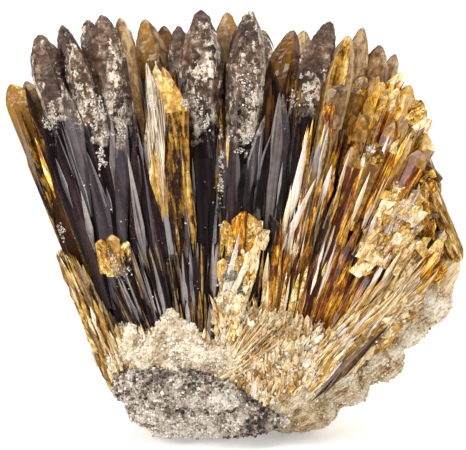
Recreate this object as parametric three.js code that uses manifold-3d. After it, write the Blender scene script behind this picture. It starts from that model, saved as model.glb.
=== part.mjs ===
// An amber calcite cluster: a fan of long pointed crystals that grew out of a lump of
// sugary grey rock, with a younger, paler fan at its right and a rind of massive calcite
// round that side. Millimetres, +Z up, +X to the right and +Y to the back as the broken
// front of the fan is faced. The origin lies in the flat that it stands on, near its
// middle.
import * as THREE from "three";
import { mergeVertices } from "three/addons/utils/BufferGeometryUtils.js";
import Module from "manifold-3d";

const wasm = await Module();
wasm.setup();

// ---- driving dimensions -------------------------------------------------------------

const GAP = 0.3; // left between two touching minerals

// The points that the crystals of each fan spread from, below and outside the solid.
const DARK_HEART = new THREE.Vector3(-3, -14, -43);
const GOLD_HEART = new THREE.Vector3(5, -11, -10);
const DARK_ROOT_Z = 13; // height at which the dark crystals start, inside the rock
const GOLD_ROOT_Z = 6;

// A crystal is a six-sided taper that ends in a steep, slightly arched point.
const SIDES = 6;
const ARCH_AT = 0.52; // share of the point's length where it bends inwards
const ARCH_WIDTH = 0.66; // its width there, as a share of the full width
const THREEFOLD = 0.1; // how far the six sides lean towards a triangle
const BLADE_SIDES = 4; // the small blades are four-sided

// ---- helpers ------------------------------------------------------------------------

const v3 = (x, y, z) => new THREE.Vector3(x, y, z);

// A repeatable stream of numbers from 0 to 1.
function stream(seed) {
  let state = seed >>> 0;
  return () => {
    state = (state + 0x6d2b79f5) >>> 0;
    let t = Math.imul(state ^ (state >>> 15), 1 | state);
    t = (t + Math.imul(t ^ (t >>> 7), 61 | t)) ^ t;
    return ((t ^ (t >>> 14)) >>> 0) / 4294967296;
  };
}

const between = (next, low, high) => low + (high - low) * next();

// A closed three.js geometry as a manifold-3d solid.
function solidFrom(geometry) {
  const bare = new THREE.BufferGeometry();
  bare.setAttribute("position", geometry.getAttribute("position"));
  bare.setIndex(geometry.index);
  const merged = mergeVertices(bare, 1e-4);
  const faces = [];
  const index = merged.index.array;
  for (let i = 0; i < index.length; i += 3) {
    const [a, b, c] = [index[i], index[i + 1], index[i + 2]];
    if (a !== b && b !== c && a !== c) faces.push(a, b, c);
  }
  return new wasm.Manifold(
    new wasm.Mesh({
      numProp: 3,
      vertProperties: new Float32Array(merged.getAttribute("position").array),
      triVerts: new Uint32Array(faces),
    }),
  );
}

// The largest body of a solid, which drops chips that a cut has freed.
function largest(solid) {
  return solid.decompose().reduce((a, b) => (b.volume() > a.volume() ? b : a));
}

const joined = (solids) => wasm.Manifold.union(solids);

function meshFrom(solid, name, material) {
  const found = solid.getMesh();
  const geometry = new THREE.BufferGeometry();
  const places = new Float32Array(found.numVert * 3);
  for (let i = 0; i < found.numVert; i++) {
    const at = i * found.numProp;
    places.set(found.vertProperties.subarray(at, at + 3), i * 3);
  }
  geometry.setAttribute("position", new THREE.BufferAttribute(places, 3));
  geometry.setIndex(new THREE.BufferAttribute(found.triVerts, 1));
  const mesh = new THREE.Mesh(geometry, material);
  mesh.name = name;
  return mesh;
}

// ---- crystals -----------------------------------------------------------------------

// One crystal from a root to a tip. width is across the shoulders, point the length of
// the pointed end, skew how far the tip stands off the axis (+X, +Y) in half-widths, turn
// the angle of its sides, and flat its thickness as a share of its width.
function crystal(root, tip, shape, grow = 0) {
  const { width, rootWidth, point, skew = [0, 0], turn = 0, flat = 0.85 } = shape;
  const { sides = SIDES, arched = false } = shape;
  const axis = tip.clone().sub(root);
  const length = axis.length() + 2 * grow;
  axis.normalize();
  const radius = width / 2 + grow;
  const shoulder = length - point;
  const arch = shoulder + point * ARCH_AT;
  const profile = [
    [0, 0],
    [rootWidth / 2 + grow, 0],
    [radius, shoulder],
    ...(arched ? [[radius * ARCH_WIDTH + grow * (1 - ARCH_WIDTH), arch]] : []),
    [0, length],
  ].map(([r, h]) => new THREE.Vector2(r, h));
  const geometry = new THREE.LatheGeometry(profile, sides);
  const across = v3(1, 0, 0);
  across.addScaledVector(axis, -across.dot(axis)).normalize();
  const deep = new THREE.Vector3().crossVectors(across, axis);
  const spot = geometry.getAttribute("position");
  const start = root.clone().addScaledVector(axis, -grow);
  for (let i = 0; i < spot.count; i++) {
    const [x, h, z] = [spot.getX(i), spot.getY(i), spot.getZ(i)];
    const angle = Math.atan2(z, x);
    const r = Math.hypot(x, z) * (1 + THREEFOLD * Math.cos(3 * angle));
    const turned = angle + THREE.MathUtils.degToRad(turn);
    const up = Math.max(0, (h - shoulder) / point);
    const side = r * Math.cos(turned) + skew[0] * radius * up;
    const back = r * Math.sin(turned) * flat - skew[1] * radius * up;
    const place = start
      .clone()
      .addScaledVector(axis, h)
      .addScaledVector(across, side)
      .addScaledVector(deep, back);
    spot.setXYZ(i, place.x, place.y, place.z);
  }
  return solidFrom(geometry);
}

// A crystal of a fan: it widens in step with its distance from the heart.
function fanCrystal(heart, rootZ, spec, grow) {
  const tip = v3(...spec.tip);
  const start = (rootZ + (spec.lift ?? 0) - heart.z) / (tip.z - heart.z);
  const root = heart.clone().lerp(tip, start);
  const rootWidth = spec.rootWidth ?? spec.width * start * 1.08;
  return crystal(root, tip, { ...spec, rootWidth }, grow);
}

// ---- the dark fan -------------------------------------------------------------------

// The crystals that are seen first from the front, from left to right.
const darkFront = [
  { tip: [-48.2, -10, 77.6], width: 5.2, point: 4.6, skew: [-0.1, 0], turn: 10 },
  { tip: [-44.8, -8.4, 80], width: 5.6, point: 5, turn: 35 },
  { tip: [-41.6, -14.5, 88.8], width: 7.6, point: 7.6, turn: 20, skew: [0.05, 0] },
  { tip: [-36.2, -12, 90.5], width: 5.8, point: 6.5, turn: 5 },
  { tip: [-33.7, -9, 89.1], width: 5, point: 5, turn: 28 },
  { tip: [-34.2, -16.2, 86.4], width: 6, point: 6.5, turn: 44 },
  { tip: [-31, -13, 92.2], width: 6.2, point: 7, turn: 12, skew: [-0.1, 0] },
  { tip: [-28.7, -13.5, 92.6], width: 6.8, point: 9, turn: 33, skew: [0.15, 0] },
  { tip: [-25.1, -6, 92.3], width: 6, point: 6, turn: 50 },
  { tip: [-19.3, -6, 92.4], width: 7.6, point: 9, turn: 22, skew: [-0.2, 0] },
  { tip: [-11.8, -8, 90.8], width: 7.6, point: 7.5, turn: 8, skew: [0.1, 0] },
  { tip: [-6.5, -15, 93.7], width: 8.8, point: 9, turn: 30, skew: [0, 0.1] },
  { tip: [-0.7, -6, 93.8], width: 7, point: 8.5, turn: 15 },
  { tip: [3.3, -15.6, 93.5], width: 8.2, point: 9.5, turn: 40, skew: [0.05, 0] },
  { tip: [11.3, -8, 90], width: 8, point: 10, turn: 18, skew: [0.45, 0] },
  { tip: [18.6, -14.5, 91.7], width: 8, point: 11, turn: 36, skew: [0.5, 0] },
  { tip: [23.7, -15, 88.9], width: 6.2, point: 9.5, turn: 25, skew: [0.1, 0] },
  { tip: [27.5, -11, 90], width: 5.8, point: 9.5, turn: 10, skew: [-0.1, 0] },
  { tip: [31.6, -10, 86.2], width: 7, point: 8, turn: 30, skew: [-0.15, 0] },
];

// Shorter crystals and blades that lie against them, lower on the front.
const darkBlades = [
  { tip: [-38.6, -15.6, 76], width: 4.6, point: 8, turn: 52 },
  { tip: [-44.8, -11.6, 67], width: 4.4, point: 6, turn: 15 },
  { tip: [-33.4, -16.6, 60], width: 4.2, point: 14, turn: 0 },
  { tip: [-31, -16.8, 75], width: 4.8, point: 10, turn: 28 },
  { tip: [-24, -16.9, 66], width: 5, point: 17, turn: 0 },
  { tip: [-11.8, -16.4, 75], width: 5, point: 4, turn: 2 },
  { tip: [-7.6, -18.2, 68], width: 5.6, point: 11, turn: 22 },
  { tip: [-2.4, -17.8, 62], width: 5, point: 9, turn: 50 },
  { tip: [1.8, -18.2, 72], width: 5.8, point: 8, turn: 12 },
  { tip: [10.2, -17, 78.4], width: 5.8, point: 6, turn: 2 },
  { tip: [15.4, -17, 73], width: 5, point: 13, turn: 24 },
  { tip: [-28.4, -17, 48], width: 4.8, point: 9, turn: 34 },
  { tip: [-17, -16.8, 55], width: 4.8, point: 12, turn: 15 },
  { tip: [7, -18, 58], width: 4.8, point: 11, turn: 35 },
];

// Small crystals that bush out of the left foot of the fan.
const DARK_FOOT_HEART = new THREE.Vector3(-16, -8, -6);
const FOOT_ROOT_Z = 16; // height at which they start
const darkFoot = [
  { tip: [-38.8, -9, 45], width: 5.6, point: 5, turn: 20 },
  { tip: [-37.4, -13, 38], width: 5.2, point: 6, turn: 40 },
  { tip: [-37, -3, 36], width: 6.4, point: 6, turn: 5 },
  { tip: [-35.2, -11, 29.6], width: 5.6, point: 5, turn: 30 },
  { tip: [-38, 5, 44], width: 7, point: 7, turn: 25 },
];

// The rows behind, which make the top a field of points. Each has its depth and height,
// how far it reaches to the left and to the right, and the crystals that stand in it.
const darkRows = [
  { y: 4, z: 91, left: -42, right: 32, count: 7 },
  { y: 13.5, z: 88, left: -38, right: 29, count: 6 },
  { y: 23, z: 80, left: -34, right: 26, count: 5 },
  { y: 30, z: 63, left: -27, right: 21, count: 4 },
];
const DARK_EDGE_DROP = 12; // how much lower a row's outer crystals end than its middle
// The solid middle that the dark crystals spread from.
const darkCore = { tip: [-4, 5, 76], width: 66, point: 36, flat: 0.54 };

function darkRowSpecs() {
  const next = stream(7);
  const specs = [];
  for (const row of darkRows) {
    const middle = (row.left + row.right) / 2;
    const step = (row.right - row.left) / (row.count - 1);
    for (let i = 0; i < row.count; i++) {
      const x = row.left + step * i + between(next, -1.2, 1.2);
      const out = Math.abs(x - middle) / (row.right - middle);
      const drop = DARK_EDGE_DROP * out ** 3 + between(next, -2, 2.5);
      specs.push({
        tip: [x, row.y + between(next, -2, 2) - 3 * out ** 2, row.z - drop],
        width: step * between(next, 1.05, 1.25),
        point: between(next, 7, 11),
        skew: [between(next, -0.35, 0.35), between(next, -0.3, 0.3)],
        turn: between(next, 0, 60),
        flat: between(next, 0.95, 1.2),
      });
    }
  }
  return specs;
}

// ---- the golden fan -----------------------------------------------------------------

const goldFront = [
  { tip: [35.6, -7, 84.9], width: 2.8, point: 4, turn: 10, rootWidth: 2.6, lift: 48 },
  { tip: [35, -12, 81], width: 6.4, point: 6, turn: 20 },
  { tip: [38.6, -9, 77], width: 6.2, point: 5, turn: 44, skew: [0.1, 0] },
  { tip: [40.4, -11, 72.6], width: 6, point: 5, turn: 12 },
  { tip: [31.4, -16, 78], width: 6.4, point: 8, turn: 8 },
  { tip: [26.6, -17, 74], width: 5.2, point: 10, turn: 26 },
  { tip: [41.6, -13, 66.5], width: 6, point: 7, turn: 40 },
  { tip: [35.6, -17.2, 67], width: 5.2, point: 9, turn: 4 },
  { tip: [30, -18, 61], width: 5, point: 11, turn: 30 },
  { tip: [24, -18, 65], width: 4.8, point: 12, turn: 14 },
  { tip: [43.6, -10, 60.5], width: 6.4, point: 6, turn: 22 },
  { tip: [40, -15.6, 57], width: 5.4, point: 8, turn: 48 },
  { tip: [45.6, -8, 53], width: 6.4, point: 6, turn: 6 },
  { tip: [42.6, -13.8, 48], width: 5.2, point: 7, turn: 28 },
  { tip: [48.2, -7, 45.5], width: 6.4, point: 6, turn: 34 },
  { tip: [46.2, -11, 40.6], width: 5.6, point: 6, turn: 18 },
  { tip: [19, -18, 58], width: 4.6, point: 12, turn: 20 },
  { tip: [24.6, -18, 48], width: 4.8, point: 10, turn: 0 },
  { tip: [38.6, -16.6, 31], width: 5, point: 8, turn: 10, lift: 7 },
  { tip: [39.4, -15.6, 37], width: 5.4, point: 8, turn: 42 },
  { tip: [34, -16, 36], width: 4.8, point: 8, turn: 30 },
  { tip: [27, -17, 37], width: 4.4, point: 8, turn: 16 },
  { tip: [13.6, -17.6, 46], width: 4.4, point: 10, turn: 8 },
];

const goldRows = [
  { y: -1, count: 4 },
  { y: 7, count: 4 },
  { y: 14, count: 3 },
  { y: 20, count: 2 },
];
// The right edge that those rows follow, as [x, z] from its top to its foot.
const GOLD_EDGE = [
  [33, 83],
  [39, 75],
  [43.5, 62],
  [47, 50],
  [49.2, 40],
];
const GOLD_ROOT_SHARE = 0.62; // a golden crystal's width at its root
// The solid middle that the golden crystals spread from.
const goldCore = { tip: [32, -1, 58], width: 34, point: 22, flat: 0.84 };

function goldRowSpecs() {
  const next = stream(23);
  const edge = new THREE.SplineCurve(GOLD_EDGE.map((p) => new THREE.Vector2(...p)));
  const specs = [];
  for (const row of goldRows) {
    for (let i = 0; i < row.count; i++) {
      const at = edge.getPoint((i + between(next, 0.1, 0.6)) / row.count);
      const inward = Math.max(0, row.y - 4) * 0.35;
      specs.push({
        tip: [at.x - inward, row.y + between(next, -2, 2), at.y - inward * 0.6],
        width: between(next, 8.6, 10.4),
        point: between(next, 6, 9),
        skew: [between(next, -0.3, 0.3), between(next, -0.3, 0.3)],
        turn: between(next, 0, 60),
        flat: between(next, 0.9, 1.15),
      });
    }
  }
  return specs;
}

// Slabs that lie along the right edge and point down it.
const edgeSlabs = [
  { root: [35, -7, 80], tip: [46.6, -6, 54], width: 7, rootWidth: 4, point: 4, turn: 12 },
  { root: [37, -7, 64], tip: [50.2, -5, 38.4], width: 7, rootWidth: 5, point: 6, turn: 30 },
  { root: [34, 4, 72], tip: [47.6, 6, 45], width: 8, rootWidth: 5, point: 7, turn: 20 },
];

// ---- blocky honey crystals ----------------------------------------------------------

// Cleavage rhombs: middle, size along their own axes, and turns about X, Y and Z.
const darkBlocks = [
  { at: [0.8, -18.2, 43.5], size: [8, 6.6, 16], turn: [4, 10, 38] },
  { at: [-24.6, -16.8, 42.5], size: [5, 5, 7.6], turn: [0, -14, 25] },
  { at: [-14.1, -14.6, 77.4], size: [6.6, 6, 8.4], turn: [24, 22, 38] },
];
const goldBlocks = [
  { at: [36.2, -15.8, 51], size: [5.6, 5.4, 13], turn: [4, 26, 38] },
  { at: [31.2, -16.4, 45.6], size: [5, 5, 12], turn: [0, 24, 20] },
  { at: [36.2, -12.6, 75], size: [5.8, 6.4, 6.4], turn: [20, 30, 20] },
  { at: [38.2, -11.8, 69.6], size: [5, 5.6, 5.6], turn: [-12, 50, 35] },
  { at: [23.2, -14.6, 72.6], size: [4.4, 5.4, 8], turn: [0, 18, 20] },
];
const RHOMB_SHEAR = 0.26; // calcite's cleavage leans 15 degrees off square

function block({ at, size, turn }, grow = 0) {
  const [w, d, h] = size.map((s) => s + 2 * grow);
  const geometry = new THREE.BoxGeometry(w, d, h);
  const lean = new THREE.Matrix4().makeShear(0, 0, 0, 0, RHOMB_SHEAR, RHOMB_SHEAR);
  const [rx, ry, rz] = turn.map(THREE.MathUtils.degToRad);
  geometry.applyMatrix4(lean);
  geometry.applyMatrix4(new THREE.Matrix4().makeRotationFromEuler(new THREE.Euler(rx, ry, rz)));
  geometry.translate(...at);
  return solidFrom(geometry);
}

function darkFan(grow = 0) {
  const specs = [
    darkCore,
    ...darkFront.map((spec) => ({ ...spec, arched: true })),
    ...darkBlades.map((spec) => ({ ...spec, sides: BLADE_SIDES })),
    ...darkRowSpecs(),
  ];
  return joined([
    ...specs.map((spec) => fanCrystal(DARK_HEART, DARK_ROOT_Z, spec, grow)),
    ...darkFoot.map((spec) => fanCrystal(DARK_FOOT_HEART, FOOT_ROOT_Z, spec, grow)),
    ...darkBlocks.map((spec) => block(spec, grow)),
  ]);
}

function goldFan(grow = 0) {
  const specs = [...goldFront, ...goldRowSpecs()].map((spec) => ({
    rootWidth: spec.width * GOLD_ROOT_SHARE,
    ...spec,
  }));
  return joined([
    ...[goldCore, ...specs].map((spec) => fanCrystal(GOLD_HEART, GOLD_ROOT_Z, spec, grow)),
    ...edgeSlabs.map((s) => crystal(v3(...s.root), v3(...s.tip), s, grow)),
    ...goldBlocks.map((spec) => block(spec, grow)),
  ]);
}

// ---- the rock and the rind ----------------------------------------------------------

// Levels of a lump: its height and how far it reaches left, right, front and back.
const rockLevels = [
  { z: 0, left: -17.8, right: 13, front: -14.5, back: 15 },
  { z: 1.6, left: -19.2, right: 15, front: -17, back: 17.5 },
  { z: 4.6, left: -22, right: 14.5, front: -18.8, back: 19 },
  { z: 7.5, left: -24.6, right: 10.5, front: -20, back: 20 },
  { z: 10.5, left: -27, right: 6, front: -20.6, back: 20.5 },
  { z: 13.5, left: -28.6, right: 1, front: -20.2, back: 20 },
  { z: 16.5, left: -28.6, right: -4, front: -18.4, back: 18 },
  { z: 19, left: -26, right: -9, front: -15.4, back: 14 },
];
const rindLevels = [
  { z: 1.4, left: 3, right: 16, front: -12, back: 14 },
  { z: 4, left: 0, right: 21, front: -16.5, back: 17 },
  { z: 8.5, left: -5, right: 24.8, front: -19, back: 20.6 },
  { z: 12, left: -8, right: 29.8, front: -19.6, back: 23 },
  { z: 18.7, left: -5, right: 38.6, front: -18.2, back: 25 },
  { z: 22.2, left: 2, right: 39.4, front: -17, back: 25.5 },
  { z: 27, left: 11, right: 44.4, front: -14.8, back: 24.6 },
  { z: 33, left: 23, right: 49.2, front: -11.4, back: 21.6 },
  { z: 38, left: 32, right: 50, front: -8, back: 17 },
  { z: 42, left: 38, right: 48.4, front: -4, back: 12 },
];
// The cream crust round the foot of the dark crystals, and the mounds on it.
const crustLevels = [
  { z: 11.5, left: -25, right: 2, front: -17, back: 17 },
  { z: 14.5, left: -28.6, right: 6, front: -19.8, back: 18.6 },
  { z: 17.5, left: -31.4, right: 5, front: -20.6, back: 18.4 },
  { z: 21, left: -31, right: 1, front: -19, back: 16 },
  { z: 24, left: -28, right: -4, front: -16.2, back: 12 },
];
const crustMounds = [
  { at: [-16.4, -15.4, 22.5], size: [9.5, 6, 15] },
  { at: [-26.6, -12.4, 20.5], size: [10, 8, 12] },
  { at: [-1.8, -14.6, 17.6], size: [13, 7, 12] },
];
// Needles that fan out of the rind's broken face, as lean to the right and length.
const NEEDLE_HEART = new THREE.Vector3(-4, -12, 6);
const NEEDLE_SIDES = 4;
const needles = { count: 14, leanFrom: 6, leanTo: 70, shortest: 24, longest: 40 };
const LUMP_SIDES = 16;
const LUMP_ROUGHNESS = 0.9; // in mm, in and out
const MOUND_ROUGHNESS = 0.14; // as a share of the mound's size

// Waves of unlike lengths, which make a lump uneven without repeating.
function unevenness(x, y, z, seed) {
  return (
    Math.sin(x * 0.55 + seed) * Math.sin(y * 0.62 + seed * 1.7) +
    0.6 * Math.sin(x * 1.15 - z * 0.9 + seed * 2.3) * Math.sin(y * 1.3 + z * 0.7) +
    0.4 * Math.sin(z * 1.7 + x * 0.8 + seed * 0.6)
  );
}

// A lump from its levels, which stays flat at its lowest and highest one.
function lump(levels, seed, grow = 0) {
  const geometry = new THREE.CylinderGeometry(1, 1, 1, LUMP_SIDES, levels.length - 1);
  geometry.rotateX(Math.PI / 2);
  const spot = geometry.getAttribute("position");
  const last = levels.length - 1;
  for (let i = 0; i < spot.count; i++) {
    const [ux, uy] = [spot.getX(i), spot.getY(i)];
    const step = Math.round((spot.getZ(i) + 0.5) * last);
    const { z, left, right, front, back } = levels[step];
    const [midX, midY] = [(left + right) / 2, (front + back) / 2];
    const rough = LUMP_ROUGHNESS * unevenness(ux * 30 + midX, uy * 24, z, seed);
    const reach = Math.hypot(ux, uy) > 0.5 ? grow + rough : 0;
    const x = midX + ux * ((right - left) / 2 + reach);
    const y = midY + uy * ((back - front) / 2 + reach);
    const lift = step === 0 ? -grow : step === last ? grow : 0;
    spot.setXYZ(i, x, y, z + lift);
  }
  return solidFrom(geometry);
}

// A mound on the crust: a ball with a knobbly surface.
function mound({ at, size }, grow = 0) {
  const geometry = new THREE.IcosahedronGeometry(0.5, 1);
  const spot = geometry.getAttribute("position");
  for (let i = 0; i < spot.count; i++) {
    const [x, y, z] = [spot.getX(i), spot.getY(i), spot.getZ(i)];
    const swell = 1 + MOUND_ROUGHNESS * unevenness(x * 12, y * 12, z * 12, at[0]);
    spot.setXYZ(i, x * swell, y * swell, z * swell);
  }
  geometry.scale(...size.map((s) => s + 3 * grow));
  geometry.translate(...at);
  return solidFrom(geometry);
}

function needleFan(grow = 0) {
  const next = stream(41);
  const made = [];
  for (let i = 0; i < needles.count; i++) {
    const share = (i + between(next, 0, 1)) / needles.count;
    const lean = THREE.MathUtils.degToRad(
      THREE.MathUtils.lerp(needles.leanFrom, needles.leanTo, share),
    );
    const length = between(next, needles.shortest, needles.longest);
    const forward = between(next, -3.4, -6.8);
    const tip = NEEDLE_HEART.clone().add(
      v3(Math.sin(lean) * length, forward, Math.cos(lean) * length * 0.85),
    );
    const shape = {
      width: between(next, 3, 4.6),
      rootWidth: 1.6,
      point: 7,
      turn: between(next, 0, 90),
      sides: NEEDLE_SIDES,
    };
    made.push(crystal(NEEDLE_HEART, tip, shape, grow));
  }
  return made;
}

const rockSolid = (grow = 0) => lump(rockLevels, 1.3, grow);
const crustSolid = (grow = 0) =>
  joined([lump(crustLevels, 2.6, grow), ...crustMounds.map((m) => mound(m, grow))]);
const rindSolid = (grow = 0) => joined([lump(rindLevels, 4.1, grow), ...needleFan(grow)]);

// ---- the pieces, each cut clear of those it grew on ----------------------------------

const rock = rockSolid();
const lowGround = joined([rockSolid(GAP), crustSolid(GAP)]);
const crust = largest(crustSolid().subtract(rockSolid(GAP)));
const rind = largest(rindSolid().subtract(lowGround));
const ground = joined([lowGround, rindSolid(GAP)]);

// The fans stand on rock, crust and rind, and the dark one against the golden one.
const goldSpray = largest(goldFan().subtract(ground));
const darkSpray = largest(darkFan().subtract(joined([ground, goldFan(GAP)])));

// ---- the model ----------------------------------------------------------------------

const finish = (color, roughness) =>
  new THREE.MeshStandardMaterial({ color, roughness, metalness: 0, flatShading: true });

const cluster = new THREE.Group();
cluster.add(
  meshFrom(rock, "matrix_rock", finish(0x8f8378, 0.9)),
  meshFrom(crust, "cream_crust", finish(0xd8c9a8, 0.85)),
  meshFrom(rind, "calcite_rind", finish(0xd9c6a4, 0.7)),
  meshFrom(darkSpray, "dark_crystal_fan", finish(0x5a3210, 0.15)),
  meshFrom(goldSpray, "golden_crystal_fan", finish(0xb87a1c, 0.2)),
);

export default cluster;
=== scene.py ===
"""Amber calcite cluster: the crystals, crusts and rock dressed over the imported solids."""

import math
import random

import bmesh
import bpy
import numpy as np
from mathutils import Euler, Matrix, Vector, noise
from mathutils.bvhtree import BVHTree


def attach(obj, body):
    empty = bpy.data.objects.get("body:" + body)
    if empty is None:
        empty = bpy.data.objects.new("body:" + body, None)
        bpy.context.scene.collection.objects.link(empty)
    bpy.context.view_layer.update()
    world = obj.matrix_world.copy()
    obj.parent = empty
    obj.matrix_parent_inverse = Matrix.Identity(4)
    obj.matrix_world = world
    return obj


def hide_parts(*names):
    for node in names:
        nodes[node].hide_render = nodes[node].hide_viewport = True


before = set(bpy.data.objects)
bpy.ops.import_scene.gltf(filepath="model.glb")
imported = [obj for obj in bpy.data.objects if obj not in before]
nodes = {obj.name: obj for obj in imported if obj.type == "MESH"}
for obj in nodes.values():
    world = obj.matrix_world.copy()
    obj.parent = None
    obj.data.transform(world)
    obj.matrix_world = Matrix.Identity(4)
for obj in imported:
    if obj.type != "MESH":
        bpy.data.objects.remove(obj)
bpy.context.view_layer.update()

MM = 0.001  # this script's lengths are in millimetres; meshes are scaled once, when made

# The points that the crystals of each fan spread from, and how high their roots stand.
DARK_HEART = Vector((-3, -14, -43))
GOLD_HEART = Vector((5, -11, -10))
DARK_ROOT_Z = 13
GOLD_ROOT_Z = 6
FOOT_HEART = Vector((-6, -14, -10))
SLAB_HEART = Vector((16, -4, 112))  # the slabs of the right edge point away from here
DARK_CORE = Vector((19, -18, 40))  # the golden fan is darkest around here

# Share of the pointed end's height, and share of the crystal's width there.
ROUNDED_POINT = ((0.25, 0.93), (0.5, 0.79), (0.72, 0.58), (0.88, 0.36), (0.97, 0.17))
BLUNT_POINT = ROUNDED_POINT[1::2]
STEEP_POINT = ((0.45, 0.66), (0.85, 0.24))
SHARP_END = 0.03  # what is left of the width at the very tip

SURFACE_CELL = 0.6  # size of the even faces of the rock, the crust and the rind
CHIP_SIDE, CHIP_LEAN = 0.8, 0.3  # a chip's side, and how far it leans over
BLOCK_BEVEL = 0.03  # share of a block's size that its worn edges take

# Dust begins at DUST_FROM_Z, less what its ragged edge takes off, and is whole at DUST_FULL_Z.
DUST_FROM_Z, DUST_FULL_Z, DUST_RAGGED = 90, 96, 45
DUST_ROUGHNESS = 0.45

# Finishes, in the order of FINISHES.
(SMOKY, AMBER, GOLDEN, DARK, GREY_PAINTED_REFLECTION, LIGHT_PAINTED_REFLECTION, PALE, AMBERY, GOLD, STRAW, STRIPED, DUST, BROWN, PAINTED_GLOW,
 HONEY, FROST, CLOUDY, SLAB) = range(18)


# ---------------------------------------------------------------- making meshes

crystal_pieces = []


def jitter(chance, amount):
    return Vector([chance.uniform(-amount, amount) for _ in range(3)])


def put_in_scene(name, data):
    made = bpy.data.objects.new(name, data)
    bpy.context.scene.collection.objects.link(made)
    return made


class Growth:
    """Gathers crystals into one mesh, each with a tint and its reach from root to tip."""

    def __init__(self):
        self.whole = bmesh.new()
        self.part = bpy.data.meshes.new("part")

    def add(self, bm):
        bm.to_mesh(self.part)
        bm.free()
        self.whole.from_mesh(self.part)

    def piece(self, name, node_name, *finishes):
        bmesh.ops.recalc_face_normals(self.whole, faces=self.whole.faces)
        bpy.data.meshes.remove(self.part)
        crystal_pieces.append(finished(self.whole, name, node_name, *finishes))


def finished(bm, name, node_name, *finishes):
    mesh = bpy.data.meshes.new(name)
    bm.to_mesh(mesh)
    bm.free()
    return place(mesh, name, node_name, *finishes)


def place(mesh, name, node_name, *finishes):
    """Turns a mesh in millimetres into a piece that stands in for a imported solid."""
    mesh.transform(Matrix.Scale(MM, 4))
    for finish in finishes:
        mesh.materials.append(finish)
    made = put_in_scene(name, mesh)
    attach(made, "root")
    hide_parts(node_name)
    return made


def set_layer(bm, name, value):
    layer = bm.verts.layers.float.get(name) or bm.verts.layers.float.new(name)
    for vert in bm.verts:
        vert[layer] = value(vert) if callable(value) else value


def along(root, tip, turn=0.0):
    """The matrix that stands an upright shape on root, pointing at tip."""
    axis = (tip - root).normalized()
    across = Vector((1, 0, 0))
    across = (across - axis * across.dot(axis)).normalized()
    deep = axis.cross(across)
    upright = Matrix((across, deep, axis)).transposed().to_4x4()
    return Matrix.Translation(root) @ upright @ Matrix.Rotation(math.radians(turn), 4, "Z")


def draw_point(bm, width, body, point, end):
    """Raises the top of an upright body, ring by ring, to its tip."""
    top = max(bm.faces, key=lambda face: face.calc_center_median().z)
    for rise, size in end + ((1.0, SHARP_END),):
        made = bmesh.ops.extrude_face_region(bm, geom=[top])["geom"]
        top = next(item for item in made if isinstance(item, bmesh.types.BMFace))
        middle = top.calc_center_median()
        ring = width / 2 * size / max(1e-6, (top.verts[0].co - middle).length)
        bmesh.ops.scale(
            bm, vec=(ring, ring, 1), verts=top.verts, space=Matrix.Translation(-middle)
        )
        bmesh.ops.translate(bm, vec=(0, 0, body + point * rise - middle.z), verts=top.verts)


def give_sides_skins(bm, side_of, sides, skins, chance):
    """Draws a finish for each side from the shares in skins; what is left keeps the glass."""
    for side in range(sides):
        pick = chance.random()
        for slot, share in skins:
            if pick < share:
                for face in bm.faces:
                    if side_of[face] == side and len(face.verts) == 4:
                        face.material_index = slot
                break
            pick -= share


def roughen_point(bm, root, body, sides, flat, turned, rough):
    """Makes the pointed end uneven, and marks its ridges in the layer named edge."""
    upper = [edge for edge in bm.edges if min(vert.co.z for vert in edge.verts) > body - 0.01]
    bmesh.ops.subdivide_edges(bm, edges=upper, cuts=3, use_grid_fill=True)
    bm.normal_update()
    for vert in bm.verts:
        if vert.co.z > body:
            at = vert.co * 0.7 + root
            vert.co += vert.normal * rough * (noise.noise(at) + 0.5 * noise.noise(at * 2.3))
    ridges = bm.verts.layers.float.new("edge")
    for vert in bm.verts:
        angle = math.atan2(vert.co.y / flat, vert.co.x) - turned
        vert[ridges] = abs(math.cos(angle * sides / 2)) ** 3 if vert.co.z > body else 0


def crystal(root, tip, width, point, root_width=None, flat=0.85, turn=0.0, skew=(0, 0),
            sides=6, end=STEEP_POINT, tint=0.5, threefold=0.1, glass=0, skins=(), cap=None,
            rough=0.0, chance=None):
    """One pointed crystal of the given glass. skins gives shares of its sides other
    finishes, from root to tip, and cap is the finish of its pointed end, which rough
    makes uneven."""
    root, tip = Vector(root), Vector(tip)
    length = (tip - root).length
    body = length - point
    root_width = width * 0.6 if root_width is None else root_width
    bm = bmesh.new()
    bmesh.ops.create_cone(
        bm, cap_ends=True, segments=sides, radius1=root_width / 2, radius2=width / 2,
        depth=body, matrix=Matrix.Translation((0, 0, body / 2)),
    )
    draw_point(bm, width, body, point, end)
    side_of = {}
    for face in bm.faces:
        middle = face.calc_center_median()
        side_of[face] = round(math.atan2(middle.y, middle.x) / math.tau * sides) % sides
        face.material_index = glass
    turned = math.radians(turn)
    for vert in bm.verts:
        x, y, z = vert.co
        angle = math.atan2(y, x)
        radius = math.hypot(x, y) * (1 + threefold * math.cos(3 * angle))
        up = max(0.0, (z - body) / point)
        vert.co.x = radius * math.cos(angle + turned) + skew[0] * width / 2 * up
        vert.co.y = radius * math.sin(angle + turned) * flat + skew[1] * width / 2 * up
    set_layer(bm, "reach", lambda vert: vert.co.z / length)
    set_layer(bm, "tint", tint)
    if skins:
        give_sides_skins(bm, side_of, sides, skins, chance)
    if cap is not None:
        for face in bm.faces:
            if face.calc_center_median().z > body:
                face.material_index = cap
    if rough:
        roughen_point(bm, root, body, sides, flat, turned, rough)
    bmesh.ops.transform(bm, matrix=along(root, tip), verts=bm.verts)
    return bm


def fan_crystal(heart, root_z, tip, width, point, **more):
    """A crystal that widens in step with its distance from the heart of its fan."""
    tip = Vector(tip)
    start = (root_z - heart.z) / (tip.z - heart.z)
    more.setdefault("root_width", width * start * 1.05)
    return crystal(heart.lerp(tip, start), tip, width, point, **more)


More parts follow.
